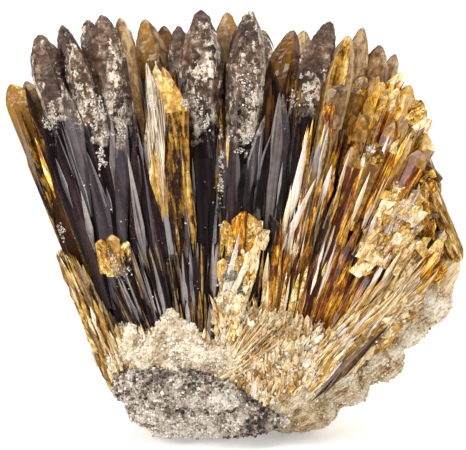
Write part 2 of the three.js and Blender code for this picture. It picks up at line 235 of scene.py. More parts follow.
def natural(chance, flattest):
    """How far a crystal's section strays from an even one, and its tip from the middle."""
    return {
        "flat": chance.uniform(flattest, 1),
        "threefold": chance.uniform(0.05, 0.3),
        "skew": (chance.uniform(-0.6, 0.6), chance.uniform(-0.4, 0.4)),
    }


def rhomb(middle, size, heading, chance, turn=0.0, lean=0.25, tint=0.5, glass=0):
    """A leaning uneven block, its long axis along heading, its edges slightly worn."""
    bm = bmesh.new()
    bmesh.ops.create_cube(bm, size=1)
    for vert in bm.verts:
        vert.co += jitter(chance, 0.16)
    bmesh.ops.bevel(bm, geom=bm.edges[:], offset=BLOCK_BEVEL, segments=1, profile=0.5,
                    affect="EDGES", material=-1)
    for vert in bm.verts:
        x, y, z = vert.co
        vert.co = ((x + lean * z) * size[0], (y + lean * x) * size[1], (z + lean * y) * size[2])
    for face in bm.faces:
        face.material_index = glass
    set_layer(bm, "reach", 0.5)
    set_layer(bm, "tint", tint)
    middle = Vector(middle)
    bmesh.ops.transform(bm, matrix=along(middle, middle + Vector(heading), turn), verts=bm.verts)
    return bm


def surface_of(name, relief, lowest=None, lobes=()):
    """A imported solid's surface in small even faces, with lobes, pushed in and out by relief."""
    source = nodes[name]
    bm = bmesh.new()
    bm.from_mesh(source.data)
    bmesh.ops.transform(bm, matrix=Matrix.Scale(1 / MM, 4) @ source.matrix_world, verts=bm.verts)
    bmesh.ops.remove_doubles(bm, verts=bm.verts, dist=0.001)
    for middle, size in lobes:
        bmesh.ops.create_icosphere(
            bm, subdivisions=3, radius=1,
            matrix=Matrix.Translation(middle) @ Matrix.Diagonal((*size, 1)),
        )
    mesh = bpy.data.meshes.new("even")
    bm.to_mesh(mesh)
    helper = put_in_scene("even", mesh)
    even = helper.modifiers.new("even", "REMESH")
    even.mode = "VOXEL"
    even.voxel_size = SURFACE_CELL
    made = helper.evaluated_get(bpy.context.evaluated_depsgraph_get())
    bm.clear()
    bm.from_mesh(made.to_mesh())
    bpy.data.objects.remove(helper)
    bpy.data.meshes.remove(mesh)
    bm.normal_update()
    layer = bm.verts.layers.float.new("relief")
    for vert in bm.verts:
        push = relief(vert.co)
        vert[layer] = push
        vert.co += vert.normal * push
        if lowest:
            vert.co.z = max(vert.co.z, lowest(vert.co))
    bm.normal_update()
    for face in bm.faces:
        face.smooth = True
    return bm


def chip():
    """The corners and triangles of a small leaning block."""
    bm = bmesh.new()
    bmesh.ops.create_cube(bm, size=CHIP_SIDE)
    for vert in bm.verts:
        vert.co.x += CHIP_LEAN * vert.co.z
    bmesh.ops.triangulate(bm, faces=bm.faces)
    corners = np.array([tuple(vert.co) for vert in bm.verts])
    triangles = np.array([[vert.index for vert in face.verts] for face in bm.faces])
    bm.free()
    return corners, triangles


CHIP = chip()


def strew(name, node_name, spots, *finishes):
    """Many small chips joined in one mesh. Each spot is a place, a turn, a size and a tint."""
    corners, triangles = CHIP
    turns = np.array([turn for _, turn, _, _ in spots])
    sizes = np.array([size for _, _, size, _ in spots]).reshape(-1, 1, 1)
    places = np.array([tuple(at) for at, _, _, _ in spots])[:, None, :]
    points = np.einsum("nij,kj->nki", turns, corners) * sizes + places
    starts = np.arange(len(spots))[:, None, None] * len(corners)
    mesh = bpy.data.meshes.new(name)
    mesh.vertices.add(points.size // 3)
    mesh.vertices.foreach_set("co", points.ravel())
    loops = (triangles[None] + starts).ravel()
    mesh.loops.add(len(loops))
    mesh.loops.foreach_set("vertex_index", loops)
    mesh.polygons.add(len(loops) // 3)
    mesh.polygons.foreach_set("loop_start", np.arange(0, len(loops), 3))
    mesh.update(calc_edges=True)
    tints = np.repeat([tint for _, _, _, tint in spots], len(corners))
    mesh.attributes.new("tint", "FLOAT", "POINT").data.foreach_set("value", tints)
    place(mesh, name, node_name, *finishes)


def loose_turn(chance):
    return Euler([chance.uniform(0, math.tau) for _ in range(3)]).to_matrix()


def grains_over(bm, chance, share, sizes, tone):
    """Spots for grains on a share of the faces of a surface, tone telling how light each is."""
    spots = []
    for face in bm.faces:
        co = face.calc_center_median()
        size = sizes[0] + (sizes[1] - sizes[0]) * chance.random() ** 2
        if chance.random() < share and co.z > size:
            spots.append((co + face.normal * size * chance.uniform(-0.1, 0.35),
                          loose_turn(chance), size, chance.random() + tone(co)))
    return spots


# ---------------------------------------------------------------- shader parts


def new_material(name):
    made = bpy.data.materials.new(name)
    made.use_nodes = True
    tree = made.node_tree
    return made, tree, tree.nodes["Principled BSDF"]


def node(tree, kind, **values):
    made = tree.nodes.new(kind)
    for key, value in values.items():
        setattr(made, key, value)
    return made


def join(tree, start, end):
    tree.links.new(start, end)


def fix(made, **values):
    """Sets constants on a node's sockets; an underscore in a name stands for a space."""
    for label, value in values.items():
        made.inputs[label.replace("_", " ")].default_value = value


def math_node(tree, operation, *values):
    made = node(tree, "ShaderNodeMath", operation=operation)
    for socket, value in zip(made.inputs, values):
        if isinstance(value, (int, float)):
            socket.default_value = value
        else:
            join(tree, value, socket)
    return made.outputs[0]


def ramp(tree, factor, *stops):
    """A colour ramp of (position, colour) stops."""
    made = node(tree, "ShaderNodeValToRGB")
    points = made.color_ramp.elements
    while len(points) < len(stops):
        points.new(0.5)
    for point, (position, colour) in zip(points, stops):
        point.position = position
        point.color = (*colour, 1)
    join(tree, factor, made.inputs[0])
    return made.outputs[0]


def blend_colour(tree, factor, a, b, how="MIX"):
    made = node(tree, "ShaderNodeMix", data_type="RGBA", blend_type=how)
    for socket, value in ((made.inputs[0], factor), (made.inputs[6], a), (made.inputs[7], b)):
        if isinstance(value, (int, float)):
            socket.default_value = value
        elif isinstance(value, tuple):
            socket.default_value = (*value, 1)
        else:
            join(tree, value, socket)
    return made.outputs[2]


def attribute(tree, name):
    return node(tree, "ShaderNodeAttribute", attribute_name=name).outputs["Fac"]


def spread(tree, value, low, high, start=0.0, end=1.0):
    """The value carried over from the range low to high to the range start to end."""
    made = node(tree, "ShaderNodeMapRange")
    join(tree, value, made.inputs["Value"])
    for label, amount in zip(("From Min", "From Max", "To Min", "To Max"),
                             (low, high, start, end)):
        made.inputs[label].default_value = amount
    return made.outputs[0]


def object_space(tree):
    return node(tree, "ShaderNodeTexCoord").outputs["Object"]


def clouds(tree, scale, detail=4.0, rough=0.5):
    """Soft noise in the object's own space, scale in lumps per metre."""
    made = node(tree, "ShaderNodeTexNoise")
    join(tree, object_space(tree), made.inputs["Vector"])
    fix(made, Scale=scale, Detail=detail, Roughness=rough)
    return made.outputs["Fac"]


def drawn_out_noise(tree, stretch, **values):
    """Noise with a scale of its own along x, y and z, in lumps per metre."""
    stretched = node(tree, "ShaderNodeVectorMath", operation="MULTIPLY")
    join(tree, object_space(tree), stretched.inputs[0])
    stretched.inputs[1].default_value = stretch
    made = node(tree, "ShaderNodeTexNoise")
    join(tree, stretched.outputs[0], made.inputs["Vector"])
    fix(made, Scale=1.0, **values)
    return made.outputs["Fac"]


def height_above_floor(tree):
    parts = node(tree, "ShaderNodeSeparateXYZ")
    join(tree, object_space(tree), parts.inputs[0])
    return parts.outputs["Z"]


def bump(tree, shader, height, strength, distance):
    made = node(tree, "ShaderNodeBump")
    fix(made, Strength=strength, Distance=distance * MM)
    join(tree, height, made.inputs["Height"])
    join(tree, made.outputs[0], shader.inputs["Normal"])


def mixed_value(tree, *parts):
    """The sum of values, each times its weight."""
    total = 0.0
    for value, weight in parts:
        total = math_node(tree, "MULTIPLY_ADD", value, weight, total)
    return total


def new_group(name, inputs, outputs):
    group = bpy.data.node_groups.new(name, "ShaderNodeTree")
    for label, kind, value in inputs:
        socket = group.interface.new_socket(label, in_out="INPUT", socket_type=kind)
        socket.default_value = value
    for label, kind in outputs:
        group.interface.new_socket(label, in_out="OUTPUT", socket_type=kind)
    return group, group.nodes.new("NodeGroupInput"), group.nodes.new("NodeGroupOutput")


def growth_group():
    """What runs out from a heart along crystals: growth streaks, and flecks of random tone, the
    brightest of them painted glints of small mirrors inside, longer along the crystals than across."""
    group, given, out = new_group(
        "Growth",
        [("Heart", "NodeSocketVector", (0, 0, 0)), ("Across", "NodeSocketFloat", 60.0),
         ("Along", "NodeSocketFloat", 60.0), ("Detail", "NodeSocketFloat", 4.0)],
        [("Streaks", "NodeSocketFloat"), ("Flecks and painted glints", "NodeSocketFloat")],
    )
    offset = node(group, "ShaderNodeVectorMath", operation="SUBTRACT")
    join(group, object_space(group), offset.inputs[0])
    join(group, given.outputs["Heart"], offset.inputs[1])
    parts = node(group, "ShaderNodeSeparateXYZ")
    join(group, offset.outputs[0], parts.inputs[0])
    made = node(group, "ShaderNodeCombineXYZ")
    for i in (0, 1):
        slope = math_node(group, "DIVIDE", parts.outputs[i], parts.outputs[2])
        join(group, math_node(group, "MULTIPLY", slope, given.outputs["Across"]), made.inputs[i])
    join(group, math_node(group, "MULTIPLY", parts.outputs[2], given.outputs["Along"]),
         made.inputs[2])
    cloud = node(group, "ShaderNodeTexNoise")
    fix(cloud, Scale=1.0, Distortion=0.3)
    join(group, made.outputs[0], cloud.inputs["Vector"])
    join(group, given.outputs["Detail"], cloud.inputs["Detail"])
    ragged = node(group, "ShaderNodeTexNoise")
    fix(ragged, Scale=3.0)
    join(group, made.outputs[0], ragged.inputs["Vector"])
    shifted = node(group, "ShaderNodeVectorMath", operation="MULTIPLY_ADD")
    join(group, ragged.outputs["Color"], shifted.inputs[0])
    shifted.inputs[1].default_value = (1.3, 1.3, 1.3)
    join(group, made.outputs[0], shifted.inputs[2])
    cells = node(group, "ShaderNodeTexVoronoi")
    fix(cells, Scale=1.0)
    join(group, shifted.outputs[0], cells.inputs["Vector"])
    shade = node(group, "ShaderNodeSeparateColor")
    join(group, cells.outputs["Color"], shade.inputs[0])
    join(group, cloud.outputs["Fac"], out.inputs[0])
    join(group, shade.outputs[0], out.inputs[1])
    return group


GROWTH_PATTERN = growth_group()


def growth(tree, what, heart, across, along_it, detail=4.0):
    """Streaks, or flecks with painted glints, so many across the fan and so many per metre along
    it.
    """
    made = node(tree, "ShaderNodeGroup", node_tree=GROWTH_PATTERN)
    fix(made, Heart=heart * MM, Across=across, Along=along_it, Detail=detail)
    return made.outputs[what]


def veins(tree, scale, detail, rough):
    """Nought along thin winding lines, growing away from them."""
    middle = math_node(tree, "SUBTRACT", clouds(tree, scale, detail, rough), 0.5)
    return math_node(tree, "ABSOLUTE", middle)


def dust_group():
    """Dust on the upper ends: its mask, its colour and its relief."""
    group, _, out = new_group(
        "Dust", [],
        [("Mask", "NodeSocketFloat"), ("Colour", "NodeSocketColor"), ("Relief", "NodeSocketFloat")],
    )
    # A brown film, milky where it is thick, with lines across the crystals and dark cracks.
    mottled = clouds(group, scale=600, detail=10, rough=0.78)
    lines = drawn_out_noise(group, (180, 180, 1300), Distortion=0.6)
    broad = clouds(group, scale=120, detail=4, rough=0.5)
    tone = mixed_value(group, (mottled, 0.7), (lines, 0.2), (broad, 0.35))
    film = ramp(
        group, math_node(group, "SUBTRACT", tone, 0.125),
        (0.4, (0.012, 0.004, 0.002)), (0.46, (0.045, 0.018, 0.008)), (0.53, (0.12, 0.062, 0.031)),
        (0.6, (0.27, 0.17, 0.11)), (0.68, (0.6, 0.5, 0.38)),
    )
    cracks = spread(group, veins(group, scale=260, detail=6, rough=0.65), 0.003, 0.014)
    film = blend_colour(group, cracks, (0.02, 0.008, 0.004), film)
    # Caked cream patches, drawn out downwards, torn along veins and thinner higher up.
    crumbly = clouds(group, scale=700, detail=10, rough=0.8)
    caked = ramp(group, crumbly, (0.36, (0.09, 0.05, 0.028)), (0.44, (0.37, 0.26, 0.17)),
                 (0.54, (0.76, 0.66, 0.51)), (0.66, (0.97, 0.93, 0.85)))
    drifts = drawn_out_noise(group, (170, 170, 75), Detail=10, Roughness=0.74)
    thinning = math_node(group, "MULTIPLY", height_above_floor(group), 4)
    torn = math_node(group, "MULTIPLY", veins(group, scale=420, detail=6, rough=0.7), 1.1)
    thickness = math_node(group, "SUBTRACT", drifts, thinning)
    patches = spread(group, math_node(group, "SUBTRACT", thickness, torn), 0.146, 0.172)
    # All of it begins at a ragged line.
    ragged = clouds(group, scale=110, detail=6, rough=0.65)
    uneven = math_node(group, "MULTIPLY", ragged, DUST_RAGGED * MM)
    high = math_node(group, "ADD", height_above_floor(group), uneven)
    mask = spread(group, high, DUST_FROM_Z * MM, DUST_FULL_Z * MM)
    join(group, mask, out.inputs[0])
    join(group, blend_colour(group, patches, film, caked), out.inputs[1])
    relief = mixed_value(group, (patches, 0.5), (crumbly, 0.4), (cracks, 0.3))
    join(group, math_node(group, "MULTIPLY", mask, relief), out.inputs[2])
    return group


DUST_PATTERN = dust_group()


def add_dust(tree, shader):
    """Places the dust pattern and gives the shader its relief."""
    dust = node(tree, "ShaderNodeGroup", node_tree=DUST_PATTERN)
    bump(tree, shader, dust.outputs["Relief"], strength=0.7, distance=0.5)
    return dust.outputs


def dusted(tree, shader, colour, polish):
    """Gives the shader the colour and polish, dulled by dust near the top."""
    dust = add_dust(tree, shader)
    join(tree, blend_colour(tree, dust["Mask"], colour, dust["Colour"]),
         shader.inputs["Base Color"])
    join(tree, spread(tree, dust["Mask"], 0, 1, start=polish, end=DUST_ROUGHNESS),
         shader.inputs["Roughness"])


# ---------------------------------------------------------------- materials


def crystal_glass(name, heart, taken_per_metre, rough=0.03, frost=0.4):
    """See-through calcite with growth streaks, rough along its sides and frosted at its very
    points. taken_per_metre is how much red, green and blue light it takes up."""
    made, tree, shader = new_material(name)
    coarse = growth(tree, "Streaks", heart, across=55, along_it=70)
    reach = mixed_value(tree, (attribute(tree, "reach"), 1.0), (coarse, 0.22))
    join(tree, spread(tree, reach, 0.93, 1.08, start=rough, end=frost),
         shader.inputs["Roughness"])
    tinted = ramp(tree, coarse, (0.3, (0.57, 0.54, 0.51)), (0.6, (0.95, 0.9, 0.85)))
    join(tree, tinted, shader.inputs["Base Color"])
    fix(shader, Transmission_Weight=1.0, IOR=1.6)
    grooves = growth(tree, "Streaks", heart, across=140, along_it=12, detail=1)
    bump(tree, shader, grooves, strength=0.05, distance=0.1)
    # Lamps shine through the glass instead of being stopped by it.
    through = node(tree, "ShaderNodeBsdfTransparent")
    through.inputs[0].default_value = (0.9, 0.9, 0.9, 1)
    mixed = node(tree, "ShaderNodeMixShader")
    join(tree, node(tree, "ShaderNodeLightPath").outputs["Is Shadow Ray"], mixed.inputs[0])
    join(tree, shader.outputs[0], mixed.inputs[1])
    join(tree, through.outputs[0], mixed.inputs[2])
    out = tree.nodes["Material Output"]
    join(tree, mixed.outputs[0], out.inputs["Surface"])
    taken = node(tree, "ShaderNodeVolumeAbsorption")
    density = max(taken_per_metre) * 1.02  # so that no part of the colour is quite nought
    fix(taken, Color=(*[1 - share / density for share in taken_per_metre], 1), Density=density)
    join(tree, taken.outputs[0], out.inputs["Volume"])
    return made


def polished_side(name, heart, *stops, polish, across, along_it, flecky, dusty=False,
                  level=0.4, dark_core=0.0, fade=0.0, fine=0.6, grain=0.3):
    """A side of cloudy calcite, its body seen as flecks, the brightest of them painted glints, and
    streaks of the stops' colours.
    fine and grain are the shares of its thin streaks and of its clouds, fade lightens it towards
    the tip as a painted glow, and dark_core darkens it around the middle of the golden fan."""
    made, tree, shader = new_material(name)
    broad, tint = 0.5, 0.25
    value = mixed_value(
        tree,
        # flecks of random tone, the brightest of them painted glints
        (growth(tree, "Flecks and painted glints", heart, across, along_it), 0.5 * flecky),
        (growth(tree, "Flecks and painted glints", heart, across * 2.7, along_it * 2.3), 0.5 * flecky),
        (growth(tree, "Streaks", heart, across * 0.5, along_it * 0.3, detail=3), broad),
        (growth(tree, "Streaks", heart, across * 2.6, along_it * 0.25, detail=5), fine),
        (clouds(tree, scale=800, detail=6, rough=0.7), grain),
        (attribute(tree, "tint"), tint),
        (attribute(tree, "reach"), fade),
    )
    # What the sum comes to on average: half of each share, more of the one that grows upwards.
    middle = 0.5 * (flecky + broad + fine + grain + tint) + 0.85 * fade
    value = math_node(tree, "SUBTRACT", value, middle - 0.5)
    if dark_core:
        away = node(tree, "ShaderNodeVectorMath", operation="DISTANCE")
        join(tree, object_space(tree), away.inputs[0])
        away.inputs[1].default_value = DARK_CORE * MM
        darker = spread(tree, away.outputs["Value"], 6 * MM, 20 * MM, start=dark_core, end=0)
        value = math_node(tree, "SUBTRACT", value, darker)
    colour = ramp(tree, value, *stops)
    fix(shader, IOR=1.66, Specular_IOR_Level=level)
    if dusty:
        dusted(tree, shader, colour, polish)
    else:
        join(tree, colour, shader.inputs["Base Color"])
        fix(shader, Roughness=polish)
    return made


def dusty_end(name):
    """The blunt brown end of a crystal, covered in dust that has worn off its ridges."""
    made, tree, shader = new_material(name)
    dust = add_dust(tree, shader)
    fix(shader, Roughness=0.35, Specular_IOR_Level=0.5)
    ridges = spread(tree, attribute(tree, "edge"), 0.4, 1, end=0.75)
    join(tree, blend_colour(tree, ridges, dust["Colour"], (0.07, 0.03, 0.012)),
         shader.inputs["Base Color"])
    return made


def striped_side(name):
    """Straw-coloured fibres side by side."""
    made, tree, shader = new_material(name)
    join(tree, ramp(
        tree, growth(tree, "Streaks", DARK_HEART, across=520, along_it=30),
        (0.36, (0.06, 0.035, 0.02)), (0.46, (0.25, 0.17, 0.09)), (0.54, (0.55, 0.44, 0.3)),
        (0.66, (0.82, 0.75, 0.62)),
    ), shader.inputs["Base Color"])
    fix(shader, Roughness=0.25)
    return made


def cloudy_crystal(name, heart, *stops):
    """Milky inner calcite, streaked from dark to pale along its growth."""
    made, tree, shader = new_material(name)
    streaks = growth(tree, "Streaks", heart, across=75, along_it=45, detail=5)
    join(tree, ramp(tree, streaks, *stops), shader.inputs["Base Color"])
    fix(shader, Roughness=0.25)
    grooves = growth(tree, "Streaks", heart, across=180, along_it=60, detail=3)
    bump(tree, shader, grooves, strength=0.6, distance=0.3)
    return made


def grainy(name, *stops, rough):
    """Grains each of a tint of their own, mottled finely."""
    made, tree, shader = new_material(name)
    base = ramp(tree, attribute(tree, "tint"), *stops)
    mottled = ramp(tree, clouds(tree, scale=2500), (0.3, (0.6, 0.56, 0.52)), (0.6, (1, 1, 1)))
    join(tree, blend_colour(tree, 1.0, base, mottled, "MULTIPLY"), shader.inputs["Base Color"])
    fix(shader, Roughness=rough)
    return made


def earthy(name, *stops, rough, relief):
    """A rough surface with painted shade, dark in its hollows and pale on its rises, which reach
    that relief.
    """
    made, tree, shader = new_material(name)
    # Painted shade: darker in the hollows of the relief, paler on its rises.
    painted_shade_by_relief = spread(tree, attribute(tree, "relief"), -relief, relief)
    mottled = clouds(tree, scale=900, detail=8, rough=0.7)
    broad = clouds(tree, scale=130, detail=4, rough=0.6)
    value = mixed_value(tree, (painted_shade_by_relief, 0.5), (mottled, 0.4), (broad, 0.3),
                        (attribute(tree, "tone"), 0.4))
    join(tree, ramp(tree, math_node(tree, "SUBTRACT", value, 0.1), *stops),
         shader.inputs["Base Color"])
    fix(shader, Roughness=rough)
    pits = clouds(tree, scale=1600, detail=5, rough=0.7)
    bump(tree, shader, pits, strength=0.8, distance=0.3)
    return made


def fibrous(name, heart, *stops, rough, relief):
    """A pale surface of fine fibres that run out from the heart, with grains and pits, and painted
    shade: darker in its pits and hollows, paler on its rises.
    """
    made, tree, shader = new_material(name)
    pits = clouds(tree, scale=1500, detail=5, rough=0.7)
    value = mixed_value(
        tree,
        (growth(tree, "Streaks", heart, across=80, along_it=60, detail=5), 1.1),
        (growth(tree, "Streaks", heart, across=30, along_it=60, detail=3), 0.1),
        # painted shade: the pits and the hollows of the relief darken the colour, and the rises
        # lighten it
        (pits, 0.5),
        (spread(tree, attribute(tree, "relief"), -relief, relief), 0.4),
        (clouds(tree, scale=90, detail=4, rough=0.6), 0.7),
        (attribute(tree, "tone"), 0.4),
    )
    join(tree, ramp(tree, math_node(tree, "SUBTRACT", value, 1.0), *stops),
         shader.inputs["Base Color"])
    fix(shader, Roughness=rough)
    fibres = growth(tree, "Streaks", heart, across=160, along_it=60)
    grooves = mixed_value(tree, (fibres, 1.0), (pits, 0.6))
    bump(tree, shader, grooves, strength=1.0, distance=0.5)
    return made


FINISHES = (
    crystal_glass("smoky calcite", DARK_HEART, taken_per_metre=(130, 200, 260)),
    crystal_glass("amber calcite", DARK_HEART, taken_per_metre=(30, 110, 500), frost=0.3),
    crystal_glass(
        "golden calcite", GOLD_HEART, taken_per_metre=(10, 45, 230), rough=0.08, frost=0.3,
    ),
    polished_side(
        "violet black side", DARK_HEART,
        (0.3, (0.003, 0.0015, 0.0015)), (0.45, (0.009, 0.0045, 0.005)),
        (0.58, (0.024, 0.013, 0.0135)), (0.7, (0.05, 0.031, 0.031)), (0.85, (0.17, 0.06, 0.012)),
        polish=0.1, across=50, along_it=90, flecky=0.12, dusty=True, level=0.35,
    ),
    # Painted reflections: the colours of the grey and light sides stand in for lamps seen in
    # polished dark faces.
    polished_side(
        "grey side with painted reflection", DARK_HEART,
        (0.3, (0.02, 0.013, 0.016)), (0.5, (0.06, 0.046, 0.05)), (0.7, (0.15, 0.125, 0.125)),
        polish=0.15, across=50, along_it=60, flecky=0.1, dusty=True, level=0.6,
    ),
    polished_side(
        "light side with painted reflection", DARK_HEART,
        (0.3, (0.05, 0.037, 0.035)), (0.5, (0.18, 0.15, 0.14)), (0.7, (0.36, 0.32, 0.295)),
        polish=0.25, across=50, along_it=60, flecky=0.1,
    ),
    polished_side(
        "pale side", GOLD_HEART,
        (0.3, (0.3, 0.22, 0.15)), (0.5, (0.62, 0.54, 0.46)), (0.7, (0.85, 0.81, 0.75)),
        polish=0.25, across=40, along_it=60, flecky=0.1,
    ),
    polished_side(
        "dark amber side", DARK_HEART,
        (0.3, (0.012, 0.006, 0.004)), (0.42, (0.04, 0.017, 0.006)), (0.5, (0.15, 0.066, 0.01)),
        (0.59, (0.33, 0.165, 0.022)), (0.72, (0.55, 0.33, 0.06)), (0.87, (0.86, 0.74, 0.46)),
        polish=0.12, across=60, along_it=110, flecky=0.45, fine=0.4, grain=0.5,
    ),
    polished_side(
        "golden side", GOLD_HEART,
        (0.22, (0.07, 0.018, 0.01)), (0.34, (0.18, 0.05, 0.014)), (0.45, (0.38, 0.135, 0.01)),
        (0.56, (0.66, 0.3, 0.012)), (0.67, (0.9, 0.56, 0.05)), (0.78, (0.95, 0.76, 0.25)),
        (0.9, (0.97, 0.93, 0.75)),
        polish=0.12, across=70, along_it=260, flecky=0.55, level=0.3, dark_core=0.2, fine=0.8,
    ),
    polished_side(
        "straw side", GOLD_HEART,
        (0.25, (0.28, 0.15, 0.05)), (0.4, (0.55, 0.37, 0.17)), (0.52, (0.72, 0.56, 0.32)),
        (0.65, (0.82, 0.71, 0.5)), (0.8, (0.9, 0.84, 0.68)),
        polish=0.35, across=90, along_it=300, flecky=0.3,
    ),
    striped_side("striped side"),
    dusty_end("dusty end"),
    polished_side(
        "brown end", DARK_HEART,
        (0.25, (0.035, 0.014, 0.005)), (0.4, (0.105, 0.05, 0.016)), (0.54, (0.23, 0.125, 0.045)),
        (0.72, (0.5, 0.34, 0.17)),
        polish=0.3, across=50, along_it=160, flecky=0.3, level=0.3, fine=0.3, grain=0.7,
    ),
    # Painted glow: this end grows lighter towards its tip, as if lit through.
    polished_side(
        "end with painted glow", DARK_HEART,
        (0.32, (0.03, 0.01, 0.003)), (0.44, (0.1, 0.038, 0.005)), (0.55, (0.24, 0.105, 0.008)),
        (0.68, (0.36, 0.19, 0.025)), (0.84, (0.62, 0.4, 0.1)),
        polish=0.15, across=20, along_it=60, flecky=0.15, level=0.3, fade=0.5, fine=0.1, grain=0.25,
    ),
    polished_side(
        "honey side", DARK_HEART,
        (0.15, (0.06, 0.025, 0.005)), (0.3, (0.2, 0.09, 0.014)), (0.45, (0.4, 0.21, 0.035)),
        (0.61, (0.6, 0.36, 0.07)), (0.75, (0.82, 0.62, 0.24)), (0.9, (0.96, 0.93, 0.82)),
        polish=0.12, across=130, along_it=1100, flecky=0.75, fine=0.2,
    ),
    polished_side(
        "frosted side", GOLD_HEART,
        (0.22, (0.14, 0.06, 0.01)), (0.36, (0.4, 0.22, 0.05)), (0.48, (0.66, 0.45, 0.17)),
        (0.6, (0.82, 0.68, 0.38)), (0.76, (0.95, 0.92, 0.8)),
        polish=0.4, across=90, along_it=800, flecky=0.4, fine=0.2, grain=0.6,
    ),
    polished_side(
        "cloudy honey side", GOLD_HEART,
        (0.22, (0.14, 0.055, 0.01)), (0.38, (0.32, 0.155, 0.026)), (0.52, (0.48, 0.27, 0.05)),
        (0.64, (0.68, 0.42, 0.09)), (0.77, (0.88, 0.72, 0.37)),
        polish=0.2, across=45, along_it=400, flecky=0.35, level=0.5, fine=0.1, grain=0.6,
    ),
    polished_side(
        "edge slab side", SLAB_HEART,
        (0.3, (0.02, 0.007, 0.003)), (0.42, (0.08, 0.032, 0.006)), (0.52, (0.22, 0.105, 0.015)),
        (0.62, (0.42, 0.24, 0.05)), (0.74, (0.7, 0.5, 0.2)), (0.9, (0.92, 0.82, 0.6)),
        polish=0.12, across=60, along_it=110, flecky=0.45, fine=0.5, grain=0.5,
    ),
)
dark_inside = cloudy_crystal(
    "dark cloudy calcite", DARK_HEART,
    (0.3, (0.004, 0.002, 0.002)), (0.5, (0.03, 0.012, 0.006)), (0.62, (0.2, 0.07, 0.01)),
    (0.75, (0.55, 0.27, 0.03)),
)
golden_inside = cloudy_crystal(
    "golden cloudy calcite", GOLD_HEART,
    (0.25, (0.06, 0.018, 0.002)), (0.42, (0.4, 0.17, 0.015)), (0.56, (0.8, 0.45, 0.06)),
    (0.72, (0.95, 0.82, 0.5)),
)
sugary_rock = earthy(
    "sugary rock",
    (0.1, (0.03, 0.02, 0.017)), (0.3, (0.15, 0.11, 0.09)), (0.5, (0.43, 0.35, 0.28)),
    (0.72, (0.72, 0.65, 0.56)),
    rough=0.8, relief=1.4,
)
rock_grains = grainy(
    "rock grains",
    (0.0, (0.04, 0.027, 0.02)), (0.25, (0.24, 0.18, 0.14)), (0.55, (0.54, 0.45, 0.37)),
    (0.95, (0.92, 0.87, 0.79)),
    rough=0.5,
)
cream_stone = earthy(
    "cream crust",
    (0.2, (0.2, 0.12, 0.055)), (0.38, (0.5, 0.38, 0.24)), (0.52, (0.74, 0.64, 0.47)),
    (0.7, (0.9, 0.84, 0.7)),
    rough=0.75, relief=1.2,
)
cream_grains = grainy(
    "cream grains",
    (0.0, (0.42, 0.29, 0.16)), (0.25, (0.7, 0.58, 0.4)), (0.6, (0.86, 0.79, 0.62)),
    (1.0, (0.95, 0.92, 0.84)),
    rough=0.5,
)
white_crumbs = grainy(
    "white crumbs",
    (0.0, (0.45, 0.35, 0.25)), (0.4, (0.72, 0.65, 0.55)), (1.0, (0.92, 0.9, 0.86)),
    rough=0.6,
)
rind_stone = fibrous(
    "pale rind", FOOT_HEART,
    (0.22, (0.2, 0.1, 0.03)), (0.33, (0.55, 0.36, 0.16)), (0.45, (0.82, 0.67, 0.43)),
    (0.58, (0.92, 0.83, 0.65)), (0.78, (0.97, 0.94, 0.86)),
    rough=0.45, relief=1.3,
)
rind_grains = grainy(
    "rind grains",
    (0.0, (0.44, 0.29, 0.13)), (0.5, (0.74, 0.59, 0.36)), (1.0, (0.92, 0.86, 0.74)),
    rough=0.4,
)

# ---------------------------------------------------------------- the dark fan

# Finish of the body, finishes of the sides, and finish of the end of each kind of front crystal.
DARK_KINDS = {
    # The grey sides of the dusty kind are painted reflections; the olive and golden bodies have a
    # painted glow towards their tips.
    "dusty": (DARK, ((GREY_PAINTED_REFLECTION, 0.35),), DUST),
    "dusty amber": (AMBERY, ((DARK, 0.3),), DUST),
    "brown": (BROWN, ((AMBERY, 0.08),), None),
    "olive": (PAINTED_GLOW, ((BROWN, 0.3),), None),
    "golden": (PAINTED_GLOW, ((HONEY, 0.15), (AMBERY, 0.15)), None),
}

# Tip, width, length of the point, turn, sideways lean of the tip, and kind.
DARK_FRONT = [
    ((-47.8, -11, 78.4), 6.2, 5, 25, -0.1, "golden"),
    ((-45.2, -8.4, 79), 5, 5, 35, 0, "brown"),
    ((-41.6, -14.5, 88.8), 8, 9, 20, 0.05, "dusty"),
    ((-36.6, -12, 90.8), 6, 7.5, 5, 0, "dusty"),
    ((-34.2, -16.2, 87), 6, 7.5, 44, 0, "dusty"),
    ((-31, -13, 92.2), 6.2, 8, 12, -0.1, "dusty"),
    ((-28.4, -14.5, 92.8), 7.6, 10, 33, 0.15, "dusty"),
    ((-24.2, -12, 92.5), 5, 7, 50, 0, "brown"),
    ((-18.6, -6, 92.6), 7.6, 10, 22, -0.2, "olive"),
    ((-12.2, -8, 90.8), 6.6, 8.5, 8, 0.1, "dusty"),
    ((-6.8, -15, 94), 9, 12, 30, 0, "dusty"),
    ((-1.2, -6, 94), 6.4, 8, 15, 0, "olive"),
    ((3.3, -15.6, 93.8), 8.6, 12, 40, 0.05, "dusty"),
    ((11.3, -8, 90.2), 8, 11, 18, 0.45, "olive"),
    ((18.6, -14.5, 92), 8.4, 13, 36, 0.5, "dusty amber"),
    ((24.2, -15, 88.6), 6.8, 10, 25, 0.1, "brown"),
    ((28.3, -11, 90.4), 6, 10, 10, -0.1, "brown"),
    ((32.4, -10, 86.6), 7, 9, 30, -0.15, "brown"),
    ((35.8, -5, 85), 4, 5, 10, 0, "brown"),
]


